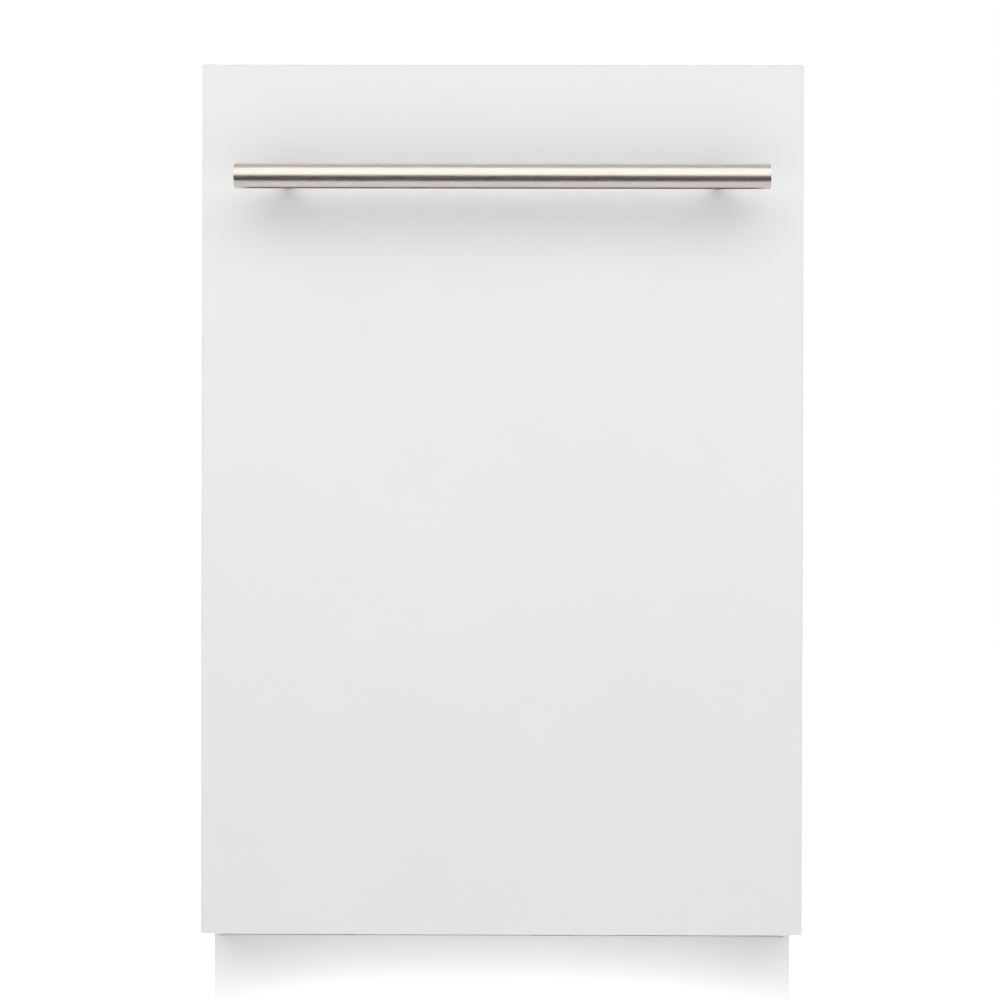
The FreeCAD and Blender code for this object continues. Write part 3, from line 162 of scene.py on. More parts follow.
LOOK = {
    "panel": material("white_powder_coat", (0.797, 0.797, 0.797), (0.807, 0.807, 0.807), (0.44, 0.54),
        grain=9, relief=0.00006, peel=850, strength=0.25, Specular_IOR_Level=0.35),
    "handle": brushed("brushed_nickel", (0.67, 0.61, 0.55), (0.78, 0.72, 0.66), "x", (0.24, 0.34),
        lines=1500),
    "posts": brushed("brushed_nickel_posts", (0.58, 0.54, 0.51), (0.72, 0.69, 0.66), "y", (0.2, 0.36),
        lines=1300),
    "tub": brushed("satin_stainless", (0.66, 0.67, 0.68), (0.76, 0.77, 0.78), "y", (0.26, 0.36),
        lines=700, metallic=0.72),
    "liner": brushed("satin_stainless_door", (0.66, 0.67, 0.68), (0.76, 0.77, 0.78), "x", (0.24, 0.34),
        lines=800, metallic=0.8),
    "floor": brushed("satin_stainless_floor", (0.64, 0.65, 0.66), (0.74, 0.75, 0.76), "x", (0.26, 0.38),
        lines=600, metallic=0.72),
    # strainer and filter: their holes are painted near black as shade
    "strainer": perforated("perforated_stainless", (0.55, 0.56, 0.57), (0.72, 0.73, 0.74), (0.25, 0.4),
        0.0032),
    "filter": perforated("filter_plastic", (0.20, 0.215, 0.23), (0.26, 0.275, 0.29), (0.42, 0.6), 0.0042,
        metallic=0.0),
    "zinc": material("galvanised_sheet", (0.40, 0.412, 0.424), (0.54, 0.553, 0.566), (0.38, 0.46),
        metallic=0.85, grain=75, relief=0.00002, peel=260, pattern="spangle"),
    "spring": brushed("spring_steel", (0.30, 0.31, 0.33), (0.50, 0.51, 0.53), "y", (0.24, 0.4)),
    "screw": material("zinc_plated_screw", (0.56, 0.56, 0.55), (0.74, 0.74, 0.72), (0.22, 0.36),
        metallic=1.0, grain=400, relief=0.00003, peel=2500),
    "base": material("black_polypropylene", (0.016, 0.016, 0.018), (0.034, 0.034, 0.037), (0.42, 0.62),
        grain=24, relief=0.00012, peel=1500),
    "grey": material("grey_polypropylene", (0.125, 0.135, 0.148), (0.165, 0.175, 0.19), (0.36, 0.54),
        grain=30, relief=0.00008, peel=1800),
    "arm": material("spray_arm_plastic", (0.20, 0.215, 0.23), (0.255, 0.27, 0.285), (0.3, 0.48), grain=26,
        relief=0.00006, peel=1600),
    "light": material("light_polypropylene", (0.50, 0.51, 0.52), (0.60, 0.61, 0.62), (0.34, 0.5),
        grain=30, relief=0.00008, peel=1700),
    "strip": material("dark_satin_moulding", (0.022, 0.023, 0.026), (0.040, 0.042, 0.046), (0.24, 0.38),
        grain=18, relief=0.00004, peel=2200),
    "button": material("silver_button", (0.46, 0.47, 0.48), (0.58, 0.59, 0.60), (0.24, 0.36),
        metallic=0.55, grain=120, relief=0.00003, peel=2600),
    "wire": material("nylon_coated_wire", (0.31, 0.325, 0.345), (0.40, 0.415, 0.435), (0.26, 0.42),
        grain=45, relief=0.00005, peel=1400, Coat_Weight=0.25, Coat_Roughness=0.25),
    "tips": material("wire_end_cap", (0.22, 0.235, 0.25), (0.30, 0.315, 0.33), (0.34, 0.5), grain=90,
        relief=0.00005, peel=1600),
    "rubber": material("seal_rubber", (0.020, 0.020, 0.022), (0.045, 0.045, 0.048), (0.48, 0.68),
        grain=35, relief=0.0001, peel=900),
    "felt": material("felt_mat", (0.030, 0.031, 0.034), (0.115, 0.118, 0.125), (0.86, 0.98), grain=55,
        relief=0.0009, peel=420, strength=0.9, pattern="fibre", Sheen_Weight=0.25, Sheen_Roughness=0.5),
    "window": material("smoked_window", (0.006, 0.007, 0.009), (0.012, 0.013, 0.016), (0.05, 0.10),
        grain=20, relief=0.00001, peel=300, Coat_Weight=0.6, Coat_Roughness=0.05),
    "board": material("circuit_board", (0.010, 0.070, 0.030), (0.030, 0.16, 0.070), (0.3, 0.45), grain=90,
        relief=0.00008, peel=1200, pattern="tracks"),
    "motor": material("cast_motor_case", (0.40, 0.41, 0.42), (0.56, 0.57, 0.58), (0.34, 0.5),
        metallic=1.0, grain=80, relief=0.00015, peel=900),
    "blue": material("blue_cap", (0.012, 0.055, 0.19), (0.022, 0.085, 0.27), (0.24, 0.36), grain=60,
        relief=0.00004, peel=1800),
    "lamp": material("indicator_lens", (0.30, 0.55, 0.60), (0.55, 0.80, 0.85), (0.1, 0.2), grain=500,
        Emission_Color=(0.5, 0.9, 1, 1), Emission_Strength=1.2),
    # painted shade: near black for the dark inside each jet's hole
    "jet": material("jet_hole_painted_shade", (0.006, 0.006, 0.007), (0.016, 0.016, 0.018), (0.5, 0.7), grain=300),
}

NODE_LOOK = {
    "panel": ["outer_panel", "toe_kick"],
    "handle": ["handle_bar"],
    "posts": ["handle_posts"],
    "tub": ["tub_wrap", "tub_back"],
    "liner": ["inner_door"],
    "floor": ["tub_floor"],
    "strainer": ["filter_plate"],
    "filter": ["filter_cup"],
    "zinc": ["left_side_panel", "right_side_panel", "frame_braces", "counter_brackets", "hinge_arms",
             "hinge_brackets",
             "junction_box", "fixed_rails", "rail_slides"],
    "spring": ["door_springs", "latch_catch", "latch_tongue"],
    "screw": ["case_screws", "door_screws"],
    "base": ["base_pan", "latch_housing", "front_left_foot", "front_right_foot", "rear_foot", "drain_pump"],
    "grey": ["sump", "lower_arm_post", "feed_pipe", "overflow_float", "wheel_brackets", "front_wheels",
             "rear_wheels",
             "dispenser_lid", "rack_rails", "upper_arm_manifold", "cutlery_basket"],
    "arm": ["lower_spray_arm", "upper_spray_arm"],
    "light": ["detergent_dispenser", "inlet_valve", "pump_rotor"],
    "strip": ["control_fascia"],
    "button": ["power_button", "program_button", "delay_button", "start_button"],
    "wire": ["upper_rack", "lower_rack"],
    "rubber": ["tub_gasket", "water_hoses"],
    "felt": ["insulation_mats"],
    "window": ["display_window"],
    "board": ["control_board"],
    "motor": ["circulation_pump"],
    "blue": ["rinse_aid_cap"],
}
for look, names in NODE_LOOK.items():
    for name in names:
        NODES[name].data.materials.clear()
        NODES[name].data.materials.append(LOOK[look])


# ---------------------------------------------------------------- mesh building
class Shape:
    """Collects vertices and faces, then becomes one piece that rides on a body."""

    def __init__(self):
        self.points = []
        self.faces = []
        self.paints = []

    def add(self, points, faces, paint=0):
        start = len(self.points)
        self.points += [tuple(p) for p in points]
        self.faces += [tuple(start + i for i in face) for face in faces]
        self.paints += [paint] * len(faces)

    def rings(self, rings, paint=0, capped=True, looped=False):
        """Skins a row of rings that all have as many points."""
        count = len(rings[0])
        points = [p for ring in rings for p in ring]
        faces = []
        last = len(rings) if looped else len(rings) - 1
        for i in range(last):
            here, there = i * count, (i + 1) % len(rings) * count
            for k in range(count):
                faces.append((here + k, here + (k + 1) % count, there + (k + 1) % count, there + k))
        if capped and not looped:
            faces.append(tuple(range(count))[::-1])
            faces.append(tuple((len(rings) - 1) * count + k for k in range(count)))
        self.add(points, faces, paint)

    def tube(self, path, radius, sides=10, paint=0, looped=False, round_ends=False, flat=1.0):
        """A round bar along a path; flat under 1 squeezes it along its own second axis."""
        rings = []
        path = [Vector(p) for p in path]
        steps = [(b - a).normalized() for a, b in zip(path, path[1:] + ([path[0]] if looped else []))]
        side = steps[0].orthogonal().normalized()
        for i, point in enumerate(path):
            before = steps[i - 1] if i or looped else steps[0]
            after = steps[i] if i < len(steps) else steps[-1]
            way = (before + after).normalized()
            side = (side - way * side.dot(way)).normalized()
            up = way.cross(side)
            widen = 1 / max(0.5, way.dot(after))
            turns = [2 * math.pi * k / sides for k in range(sides)]
            spokes = [side * math.cos(t) * widen + up * math.sin(t) * flat for t in turns]
            rings.append([point + spoke * radius for spoke in spokes])
        if round_ends and not looped:
            for end, inner in ((0, 1), (-1, -2)):
                tip, way = path[end], (path[end] - path[inner]).normalized()
                domes = []
                for share in (0.5, 0.85):
                    shrink = math.sqrt(1 - share * share)
                    crest = tip + way * radius * share
                    domes.append([crest + (Vector(p) - tip) * shrink for p in rings[end]])
                rings = domes[::-1] + rings if end == 0 else rings + domes
        self.rings(rings, paint, looped=looped)

    def lathe(self, profile, axis, centre, sides=48, paint=0):
        """Turns (radius, height) points about a line along axis through centre."""
        way = Vector(axis)
        side = way.orthogonal().normalized()
        up = way.cross(side)
        centre = Vector(centre)
        turns = [2 * math.pi * k / sides for k in range(sides)]
        spokes = [side * math.cos(turn) + up * math.sin(turn) for turn in turns]
        rings = []
        for radius, height in profile:
            rings.append([centre + way * height + spoke * max(radius, 1e-5) for spoke in spokes])
        self.rings(rings, paint)

    def box(self, low, high, soft=0.0006, paint=0):
        """A box with chamfered edges: rings of eight corners, stacked."""
        rings = []
        for inset, z in ((soft, low[2]), (0, low[2] + soft), (0, high[2] - soft), (soft, high[2])):
            x0, x1, y0, y1 = low[0] + inset, high[0] - inset, low[1] + inset, high[1] - inset
            rings.append([(x0 + soft, y0, z), (x1 - soft, y0, z), (x1, y0 + soft, z), (x1, y1 - soft, z),
                          (x1 - soft, y1, z), (x0 + soft, y1, z), (x0, y1 - soft, z), (x0, y0 + soft, z)])
        self.rings(rings, paint)

    def piece(self, name, looks, body, slot=None, replaced=(), smooth=40):
        mesh = bpy.data.meshes.new(name)
        mesh.from_pydata([tuple(p) for p in self.points], [], self.faces)
        for look in looks:
            mesh.materials.append(LOOK[look])
        mesh.polygons.foreach_set("material_index", self.paints)
        mesh.polygons.foreach_set("use_smooth", [True] * len(self.faces))
        mesh.set_sharp_from_angle(angle=math.radians(smooth))
        mesh.validate()
        made = bpy.data.objects.new(name, mesh)
        bpy.context.scene.collection.objects.link(made)
        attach(made, body)
        if replaced:
            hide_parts(*replaced)
        return made


def bent(points, radius, steps=5, looped=False):
    """The path through points with its corners rounded."""
    points = [Vector(p) for p in points]
    path = []
    count = len(points)
    for i, corner in enumerate(points):
        if not looped and i in (0, count - 1):
            path.append(corner)
            continue
        back, on = points[i - 1] - corner, points[(i + 1) % count] - corner
        reach = min(radius, back.length * 0.45, on.length * 0.45)
        start, end = corner + back.normalized() * reach, corner + on.normalized() * reach
        for k in range(steps + 1):
            share = k / steps
            path.append(start.lerp(corner, share).lerp(corner.lerp(end, share), share))
    return path


def spread(low, high, count):
    return [low + (high - low) * i / (count - 1) for i in range(count)]


# ---------------------------------------------------------------- door
def bar_handle():
    """Round bar with a fine chamfer and a turned recess in each end."""
    low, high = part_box("handle_bar")
    radius = (high.z - low.z) / 2
    middle = (low + high) / 2
    half = (high.x - low.x) / 2
    edge = 0.7 * MM
    side = [(0.0, half - 0.5 * MM), (radius * 0.72, half - 0.5 * MM), (radius * 0.76, half),
        (radius - edge, half), (radius - edge * 0.3, half - edge * 0.3), (radius, half - edge)]
    waist = [(radius, half * share) for share in (0.9, 0.6, 0.3)]
    profile = side + waist
    profile += [(r, -x) for r, x in reversed(profile)]
    shape = Shape()
    shape.lathe(profile, (1, 0, 0), middle, sides=128)
    shape.piece("bar_handle", ["handle"], "door", "handle_metal", ["handle_bar"], smooth=25)


def indicator_lamps():
    """Small lit lenses in the display window."""
    low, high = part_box("display_window")
    shape = Shape()
    middle = (low.y + high.y) / 2
    for x in spread(low.x + 12 * MM, high.x - 12 * MM, 5):
        dome = [(1.7 * MM, -0.25 * MM), (1.6 * MM, 0.0), (1.2 * MM, 0.12 * MM), (0.5 * MM, 0.16 * MM)]
        shape.lathe(dome, (0, 0, 1), (x, middle, high.z), sides=20)
    shape.piece("indicator_lamps", ["lamp"], "door", "display_glass")


# ---------------------------------------------------------------- racks
def rack_points(node):
    low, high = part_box(node)
    return (high.x - RIM, low.y + RIM, high.y - RIM, low.z + WIRE, high.z - RIM)


def loop_path(half, front, rear, height, corner=22 * MM):
    return bent([(half, front, height), (half, rear, height), (-half, rear, height),
        (-half, front, height)], corner, 8, looped=True)


def wire_rack(node, body, tine_rows, tine_height, first_tine, lean):
    """Nylon-coated wires: a thick rim, two thinner loops, bent wires both ways and leaning tines."""
    half, front, rear, floor, rim = rack_points(node)
    shape = Shape()
    inset = RIM + WIRE - 0.1 * MM
    step = 2 * WIRE - 0.1 * MM
    shape.tube(loop_path(half, front, rear, rim), RIM, 14, looped=True)
    for height in (floor + 14 * MM, (floor + rim) / 2 + 12 * MM):
        shape.tube(loop_path(half, front, rear, height), WIRE, 12, looped=True)
    top = rim + RIM * 0.4
    for x in spread(-half + 26 * MM, half - 26 * MM, 9):
        ends = [(x, front + inset, top), (x, front + inset, floor), (x, rear - inset, floor),
            (x, rear - inset, top)]
        shape.tube(bent(ends, 10 * MM, 6), WIRE, 10, round_ends=True)
    crosses = spread(front + 28 * MM, rear - 28 * MM, 11)
    for y in crosses:
        z = floor + step
        ends = [(-half + inset, y, top), (-half + inset, y, z), (half - inset, y, z),
            (half - inset, y, top)]
        shape.tube(bent(ends, 9 * MM, 6), WIRE, 10, round_ends=True)
    for x in tine_rows:
        shape.tube([(x, crosses[first_tine] - 8 * MM, floor + 2 * step),
            (x, crosses[-1] + 8 * MM, floor + 2 * step)], WIRE * 0.9, 10, round_ends=True)
        for y in crosses[first_tine:]:
            base, tip = Vector((x, y, floor + step)), Vector((x + lean, y, floor + tine_height))
            path = bent([base, base + Vector((0, 0, 12 * MM)), tip], 8 * MM, 4)
            shape.tube(path, WIRE * 0.9, 10)
            cap = [path[-1] - (path[-1] - path[-2]).normalized() * 5 * MM, path[-1]]
            shape.tube(cap, WIRE * 1.25, 12, paint=1, round_ends=True)
    shape.piece(node + "_wires", ["wire", "tips"], body, "rack_wire", [node], smooth=60)


def rack_handle():
    """Moulded grip clipped on the upper rack's front rim."""
    half, front, rear, floor, rim = rack_points("upper_rack")
    shape = Shape()
    width = 62 * MM
    rings = []
    for i in range(25):
        share = i / 24
        x = -width + 2 * width * share
        swell = math.sin(math.pi * share) ** 0.4 if 0 < share < 1 else 0.0
        tall, deep = 3.4 * MM + 5.5 * MM * swell, 3.2 * MM + 0.6 * MM * swell
        ring = []
        for k in range(20):
            turn = 2 * math.pi * k / 20
            c, s = math.cos(turn), math.sin(turn)
            ring.append((x, front + 1.0 * MM + deep * math.copysign(abs(c) ** 0.7, c),
                rim - 5.4 * MM * swell + tall * math.copysign(abs(s) ** 0.7, s)))
        rings.append(ring)
    shape.rings(rings)
    return shape


def cutlery_basket():
    """Moulded basket: slotted walls, a grid floor, dividers and an arched handle."""
    low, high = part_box("cutlery_basket")
    rim = low.z + 115.6 * MM
    shape = Shape()
    x0, x1, y0, y1 = low.x + 1.5 * MM, high.x - 1.5 * MM, low.y + 1.5 * MM, high.y - 1.5 * MM
    corner = 8 * MM
    for height, thick in ((low.z + 3 * MM, 2.6 * MM), (low.z + 40 * MM, 1.5 * MM),
            (low.z + 78 * MM, 1.5 * MM), (rim - 2.4 * MM, 2.4 * MM)):
        inside = 0.9 * MM if thick > 2 * MM else 0.0
        ring = [(x1 - inside, y0 + inside, height), (x1 - inside, y1 - inside, height),
            (x0 + inside, y1 - inside, height), (x0 + inside, y0 + inside, height)]
        shape.tube(bent(ring, corner, 8, looped=True), thick, 10, looped=True, flat=0.9)
    rails = []
    for x in spread(x0 + corner, x1 - corner, 26):
        rails += [(x, y0), (x, y1)]
    for y in spread(y0 + corner, y1 - corner, 9):
        rails += [(x0, y), (x1, y)]
    for x, y in rails:
        shape.tube([(x, y, low.z + 2.5 * MM), (x, y, rim - 2.5 * MM)], 1.35 * MM, 8)
    for x in spread(x0, x1, 30):
        shape.tube([(x, y0, low.z + 1.8 * MM), (x, y1, low.z + 1.8 * MM)], 1.3 * MM, 8)
    for y in spread(y0, y1, 12):
        shape.tube([(x0, y, low.z + 2.6 * MM), (x1, y, low.z + 2.6 * MM)], 1.3 * MM, 8)
    middle = (y0 + y1) / 2
    wide = (high.x - low.x - 4 * MM + 2 * MM) / 3
    for x in (low.x + 2 * MM + wide - MM, low.x + 2 * MM + 2 * wide - MM):
        shape.box((x - MM, y0, low.z + 2 * MM), (x + MM, y1, rim - 4 * MM), 0.4 * MM)
    shape.box((x0, middle - MM, low.z + 2 * MM), (x1, middle + MM, rim - 2 * MM), 0.4 * MM)
    for x in (-56 * MM, 56 * MM):
        shape.box((x - 4 * MM, middle - 2.6 * MM, rim - 22 * MM),
            (x + 4 * MM, middle + 2.6 * MM, rim + 2 * MM), MM)
    top = high.z - 4.2 * MM
    arch = bent([(-56 * MM, middle, rim), (-56 * MM, middle, top), (56 * MM, middle, top),
        (56 * MM, middle, rim)], 12 * MM, 8)
    shape.tube(arch, 3.6 * MM, 16)
    shape.piece("slotted_basket", ["grey"], "cutlery", "grey_plastic", ["cutlery_basket"], smooth=50)


# ---------------------------------------------------------------- tub
def bulb_gasket():
    """Rubber seal: a flat foot on the flange with a soft bulb and a thin lip, run round the mouth."""
    low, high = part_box("tub_gasket")
    side, top = high.x - 3 * MM, high.z - 5.2 * MM
    path = bent([(-side, 0, low.z + MM), (-side, 0, top), (side, 0, top), (side, 0, low.z + MM)], 13 * MM,
        10)
    back = high.y - 0.4 * MM
    depth = back - low.y - 0.1 * MM
    outline = [(2.8, 0.0), (2.9, 0.14), (1.6, 0.20), (2.2, 0.42), (2.6, 0.66), (1.9, 0.88), (0.4, 1.0),
        (-1.2, 0.94), (-2.3, 0.74), (-2.4, 0.52), (-1.5, 0.34), (-2.9, 0.22), (-2.9, 0.0)]
    rings = []
    for i, point in enumerate(path):
        before, after = path[max(i - 1, 0)], path[min(i + 1, len(path) - 1)]
        way = (after - before).normalized()
        out = Vector((-way.z, 0, way.x))
        rings.append([point + out * (across * MM) + Vector((0, back - depth * share, 0)) for across,
            share in outline])
    shape = Shape()
    shape.rings(rings)
    shape.piece("bulb_gasket", ["rubber"], "cabinet", "seal_rubber", ["tub_gasket"], smooth=50)


def spray_arm(node, body, jets_up):
    """Moulded arm: a twisted blade with an oval section, a domed hub and raised jets along its face, each
    with a near-black disk in its tip as painted shade for the hole.
    """
    low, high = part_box(node)
    centre = (low + high) / 2
    reach = (high.x - low.x) / 2
    blade_low = low.z + (1.2 if jets_up else 4.0) * MM
    blade_high = blade_low + 14 * MM
    middle = (blade_low + blade_high) / 2
    shape = Shape()
    rings = []
    for i in range(61):
        share = -1 + 2 * i / 60
        end = math.sqrt(max(0.0, 1 - (abs(share) - 0.94) ** 2 / 0.0036)) if abs(share) > 0.94 else 1.0
        wide = (18.5 - 8 * abs(share)) * MM * end + 0.05 * MM
        thick = (6.9 - 1.6 * abs(share)) * MM * (0.35 + 0.65 * end)
        tilt = 0.16 * share
        ring = []
        for k in range(28):
            turn = 2 * math.pi * k / 28
            y = wide * math.copysign(abs(math.cos(turn)) ** 0.75, math.cos(turn))
            z = thick * math.copysign(abs(math.sin(turn)) ** 0.6, math.sin(turn))
            ring.append((centre.x + share * reach, centre.y + y * math.cos(tilt) - z * math.sin(tilt),
                         middle + y * math.sin(tilt) * 0.5 + z * math.cos(tilt)))
        rings.append(ring)
    shape.rings(rings)
    tall = high.z - low.z
    hub = [(8.2, 0.0), (20.4, 0.0), (20.9, 0.6), (20.9, tall / MM - 3.4), (19.6, tall / MM - 1.2),
        (16.5, tall / MM - 0.2), (8.2, tall / MM)]
    if jets_up:
        cap = [(9.0, tall / MM - 0.05), (4.0, tall / MM - 0.9), (0.1, tall / MM - 0.9)]
        profile = [(8.2, 8.0)] + hub[:-1] + cap
    else:
        profile = [(0.1, 1.2), (16.0, 0.3)] + hub[1:] + [(8.2, tall / MM - 9.0)]
    shape.lathe([(r * MM, h * MM) for r, h in profile], (0, 0, 1), (centre.x, centre.y, low.z), sides=56)
    up = 1 if jets_up else -1
    for number, x in enumerate((-158, -134, -108, -80, -52, 52, 80, 108, 134, 158)):
        share = x * MM / reach
        thick = (6.9 - 1.6 * abs(share)) * MM
        seat = middle + up * (thick - 0.4 * MM)
        aside = (1 if number % 2 else -1) * 3.2 * MM
        place = (centre.x + x * MM, centre.y + aside, seat)
        nozzle = [(3.6, -0.5), (3.5, 0.5), (2.7, 1.1), (1.5, 1.1)]
        shape.lathe([(r * MM, h * MM) for r, h in nozzle], (0, 0, up), place, sides=20)
        # a near-black disk in each nozzle's tip: painted shade for the jet's open hole
        shape.lathe([(1.55 * MM, 1.0 * MM), (1.5 * MM, 1.16 * MM)], (0, 0, up), place, sides=16, paint=1)
    shape.piece(node + "_moulding", ["arm", "jet"], body, "grey_plastic", [node], smooth=45)


def felt_mats():
    """Four soft mats whose faces dip along quilted dots and whose edges are rounded."""
    low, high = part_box("insulation_mats")
    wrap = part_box("tub_wrap")
    side_in, side_low, side_top = 205 * MM, low.z + 18 * MM, 812 * MM
    top_half, back_half, top_low, rear = 200 * MM, 198 * MM, 818 * MM, 288 * MM
    mats = {
        "mat_left": ((-high.x, low.y, side_low), (-side_in, rear, side_top), 0),
        "mat_right": ((side_in, low.y, side_low), (high.x, rear, side_top), 0),
        "mat_top": ((-top_half, low.y, top_low), (top_half, rear, high.z), 2),
        "mat_back": ((-back_half, wrap[1].y + 2 * MM, low.z), (back_half, high.y, side_top), 1),
    }
    for name, (a, b, thin) in mats.items():
        made = slab(Vector(a), Vector(b), thin).piece(name, ["felt"], "cabinet", "felt",
            ["insulation_mats"], smooth=80)


def slab(low, high, thin, cell=9 * MM, quilt=62 * MM):
    """A closed mat between two corners, with crowned, dimpled faces; thin is its thin axis."""
    wide = [axis for axis in range(3) if axis != thin]
    size = high - low
    counts = [max(4, round(size[axis] / cell)) for axis in wide]
    middle = (low[thin] + high[thin]) / 2
    half = (high[thin] - low[thin]) / 2 - 0.1 * MM
    shape = Shape()
    points, index = [], {}
    for face in (-1, 1):
        for i in range(counts[0] + 1):
            for k in range(counts[1] + 1):
                u, v = size[wide[0]] * i / counts[0], size[wide[1]] * k / counts[1]
                edge = min(u, v, size[wide[0]] - u, size[wide[1]] - v)
                crown = math.sin(min(1.0, edge / (14 * MM)) * math.pi / 2) ** 0.6 if edge > 0 else 0.0
                du, dv = (u / quilt) % 1 - 0.5, (v / quilt) % 1 - 0.5
                dimple = math.exp(-(du * du + dv * dv) / 0.012)
                ripple = noise.noise(Vector((u * 26, v * 26,
                    7 * face))) * 0.16 + noise.noise(Vector((u * 90, v * 90, 3 * face))) * 0.06
                height = half * max(0.05, crown * (0.84 + ripple - 0.42 * dimple))
                point = [0.0, 0.0, 0.0]
                point[wide[0]], point[wide[1]] = low[wide[0]] + u, low[wide[1]] + v
                point[thin] = middle + face * min(height, half)
                index[face, i, k] = len(points)
                points.append(tuple(point))
    faces = []
    flip = thin == 1
    for face in (-1, 1):
        for i in range(counts[0]):
            for k in range(counts[1]):
                quad = [index[face, i, k], index[face, i + 1, k], index[face, i + 1, k + 1],
                    index[face, i, k + 1]]
                faces.append(tuple(quad if (face > 0) != flip else quad[::-1]))
    rim = [(i, 0) for i in range(counts[0])] + [(counts[0], k) for k in range(counts[1])]
    rim += [(i, counts[1]) for i in range(counts[0], 0, -1)] + [(0, k) for k in range(counts[1], 0, -1)]
    for here, there in zip(rim, rim[1:] + rim[:1]):
        quad = [index[(-1, *here)], index[(-1, *there)], index[(1, *there)], index[(1, *here)]]
        faces.append(tuple(quad if not flip else quad[::-1]))
    shape.add(points, faces)
    return shape


# ---------------------------------------------------------------- stage
def area_light(name, place, target, width, height, power):
    data = bpy.data.lights.new(name, "AREA")
    data.shape = "RECTANGLE"
    data.size, data.size_y = width, height
    data.energy = power
    light = bpy.data.objects.new(name, data)
    bpy.context.scene.collection.objects.link(light)
    light.location = place
    light.rotation_euler = (Vector(target) - Vector(place)).to_track_quat("-Z", "Y").to_euler()
    return light


def stage_plane(name, corners, look):
    mesh = bpy.data.meshes.new(name)
    mesh.from_pydata(corners, [], [tuple(range(len(corners)))])
    mesh.materials.append(look)
    made = bpy.data.objects.new(name, mesh)
    bpy.context.scene.collection.objects.link(made)
    return made


def backdrop_light(name):
    """The world: white to the camera, pale in reflections, and dim as a source of light."""
    world = bpy.data.worlds.new(name)
    bpy.context.scene.world = world
    world.use_nodes = True
    tree = world.node_tree
    rays = add(tree, "ShaderNodeLightPath").outputs
    seen = add(tree, "ShaderNodeMath", {0: rays["Is Camera Ray"], 1: 1.0 - WORLD_SHINE},
        operation="MULTIPLY")
    lit = add(tree, "ShaderNodeMath", {0: rays["Is Diffuse Ray"], 1: WORLD_LIGHT - WORLD_SHINE},
        operation="MULTIPLY")
    both = add(tree, "ShaderNodeMath", {0: seen.outputs[0], 1: lit.outputs[0]}, operation="ADD")
    glow = add(tree, "ShaderNodeMath", {0: both.outputs[0], 1: WORLD_SHINE}, operation="ADD")
    tree.links.new(glow.outputs[0], tree.nodes["Background"].inputs["Strength"])
    tree.nodes["Background"].inputs["Color"].default_value = (1, 1, 1, 1)


def flag(name, corners, one_sided=False):
    """A dark card that only reflections see."""
    look = material(name + "_card", (0.10, 0.085, 0.078), (0.12, 0.10, 0.092), (0.9, 1.0), grain=3)
    if one_sided:
        tree = look.node_tree
        back = add(tree, "ShaderNodeNewGeometry").outputs["Backfacing"]
        clear = add(tree, "ShaderNodeBsdfTransparent")
        mix = add(tree, "ShaderNodeMixShader", {0: back, 1: tree.nodes["Principled BSDF"].outputs[0],
            2: clear.outputs[0]})
        tree.links.new(mix.outputs[0], tree.nodes["Material Output"].inputs["Surface"])
    card = stage_plane(name, corners, look)
    for ray in ("camera", "diffuse", "shadow", "transmission", "volume_scatter"):
        setattr(card, "visible_" + ray, False)


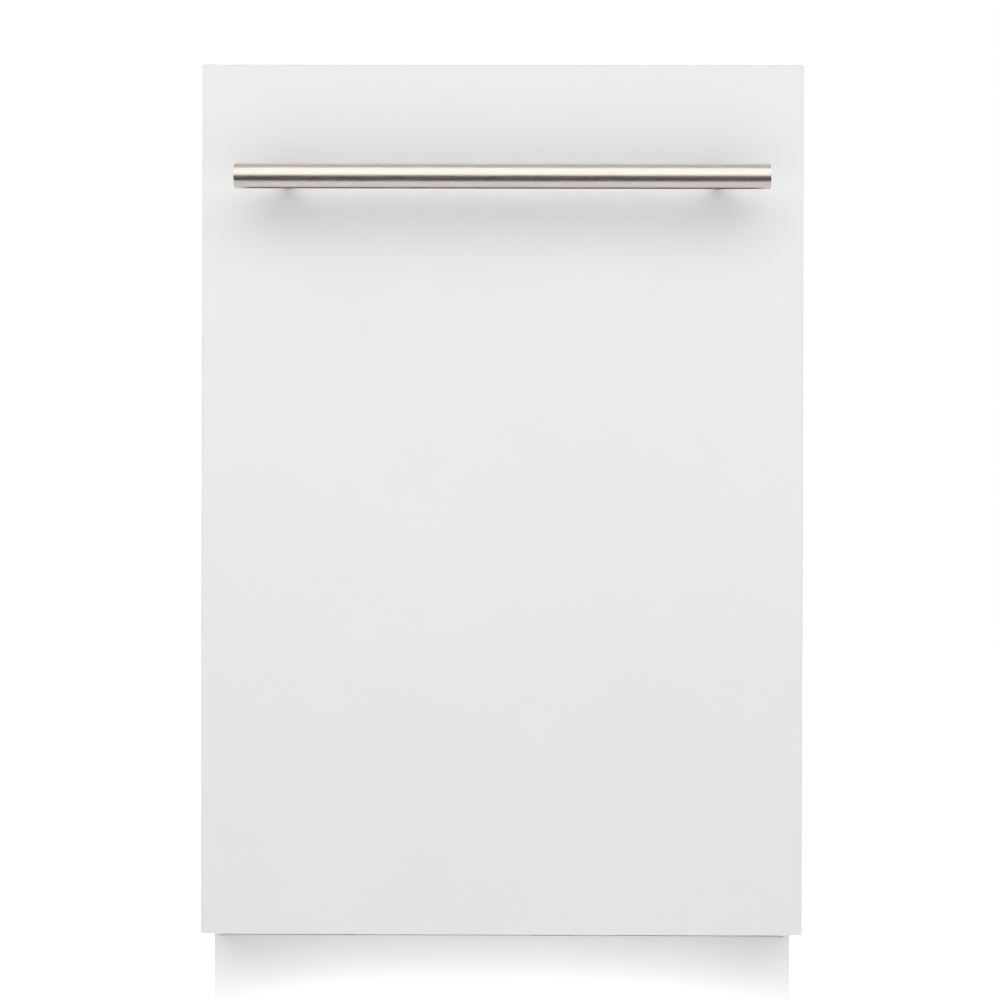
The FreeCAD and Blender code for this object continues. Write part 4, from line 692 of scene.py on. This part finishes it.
def studio():
    """Two front lights, pale surroundings and a glowing floor, with dark flags seen only in reflections to
    draw the bar's lines; the one under the bar is painted shade.
    """
    backdrop_light("studio")
    pale = material("pale_floor", (0.84, 0.84, 0.84), (0.88, 0.88, 0.88), (0.7, 0.8), grain=3,
        relief=0.0002, peel=120, Emission_Color=(1, 1, 1, 1))
    tree = pale.node_tree
    depth = add(tree, "ShaderNodeSeparateXYZ", {0: add(tree,
        "ShaderNodeTexCoord").outputs["Object"]}).outputs["Y"]
    behind = ranged(tree, depth, FLOOR_GLOW, 1.0, 0.3, 0.6)
    before = ranged(tree, depth, 0.0, FAR_GLOW, -0.6, -1.2)
    glow = add(tree, "ShaderNodeMath", {0: behind, 1: before}, operation="ADD").outputs[0]
    tree.links.new(glow, tree.nodes["Principled BSDF"].inputs["Emission Strength"])
    reach = 9.0
    stage_plane("floor", [(-reach, -reach, 0), (reach, -reach, 0), (reach, reach, 0), (-reach, reach, 0)],
        pale)
    low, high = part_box("handle_bar")
    eye = (low + high) / 2
    top_y, top_z = eye.y - FLAG_AWAY, eye.z - FLAG_AWAY * math.tan(math.radians(3))
    low_y = eye.y - eye.z / math.tan(math.radians(55))
    flag("front_flag", [(-2.5, low_y, 0.004), (2.5, low_y, 0.004), (2.5, top_y, top_z),
        (-2.5, top_y, top_z)])
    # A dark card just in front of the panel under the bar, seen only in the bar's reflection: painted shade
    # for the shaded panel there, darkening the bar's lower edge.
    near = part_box("outer_panel")[0].y - 1.5 * MM
    flag("under_bar_painted_shade", [(low.x, near, low.z - 50 * MM), (high.x, near, low.z - 50 * MM),
        (high.x, near, low.z + MM), (low.x, near, low.z + MM)], one_sided=True)
    for name, rise, wide, tall, glow in (("key", 40, 12.5, 8.4, KEY_GLOW),
            ("accent", 36, 8.4, 3.6, ACCENT_GLOW)):
        slope = math.radians(rise)
        place = eye + Vector((0, -math.cos(slope), math.sin(slope))) * KEY_AWAY
        light = area_light(name, place, eye, wide, tall, glow * math.pi * wide * tall)
        light.visible_camera = False
        light.visible_glossy = name == "key"
    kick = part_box("toe_kick")
    under = area_light("kick_glow", (0, kick[0].y - 0.07, 0.06), (0, kick[0].y, 0.09), 0.44, 0.06,
        KICK_POWER)
    under.visible_camera = False
    under.visible_glossy = False
    for side in (-1, 1):
        area_light("rear_fill", (side * 1.8, 2.6, 1.9), (0, 0.2, 0.4), 1.6, 1.6,
            REAR_POWER).visible_camera = False
    bpy.context.scene.view_settings.view_transform = "Standard"


def camera():
    data = bpy.data.cameras.new("camera")
    data.sensor_width = 36
    data.lens = 115.97
    eye = bpy.data.objects.new("camera", data)
    bpy.context.scene.collection.objects.link(eye)
    eye.location = (0.0206, -2.67, 0.513)
    turn = Matrix.Rotation(math.radians(0.527), 4, "Z") @ Matrix.Rotation(math.radians(90.162), 4, "X")
    eye.rotation_euler = (turn @ Matrix.Rotation(math.radians(0.136), 4, "Z")).to_euler()
    bpy.context.scene.camera = eye


# ---------------------------------------------------------------- make everything
camera()
bar_handle()
indicator_lamps()
wire_rack("upper_rack", "upper_basket", [x * MM for x in (-112, -48, 48, 112)], 62 * MM, 0, 6 * MM)
wire_rack("lower_rack", "lower_basket", [x * MM for x in (-110, -50, 50, 110)], 118 * MM, 3, 7 * MM)
rack_handle().piece("rack_grip", ["grey"], "upper_basket", "grey_plastic")
cutlery_basket()
bulb_gasket()
spray_arm("lower_spray_arm", "lower_arm", True)
spray_arm("upper_spray_arm", "upper_arm", False)
felt_mats()
studio()
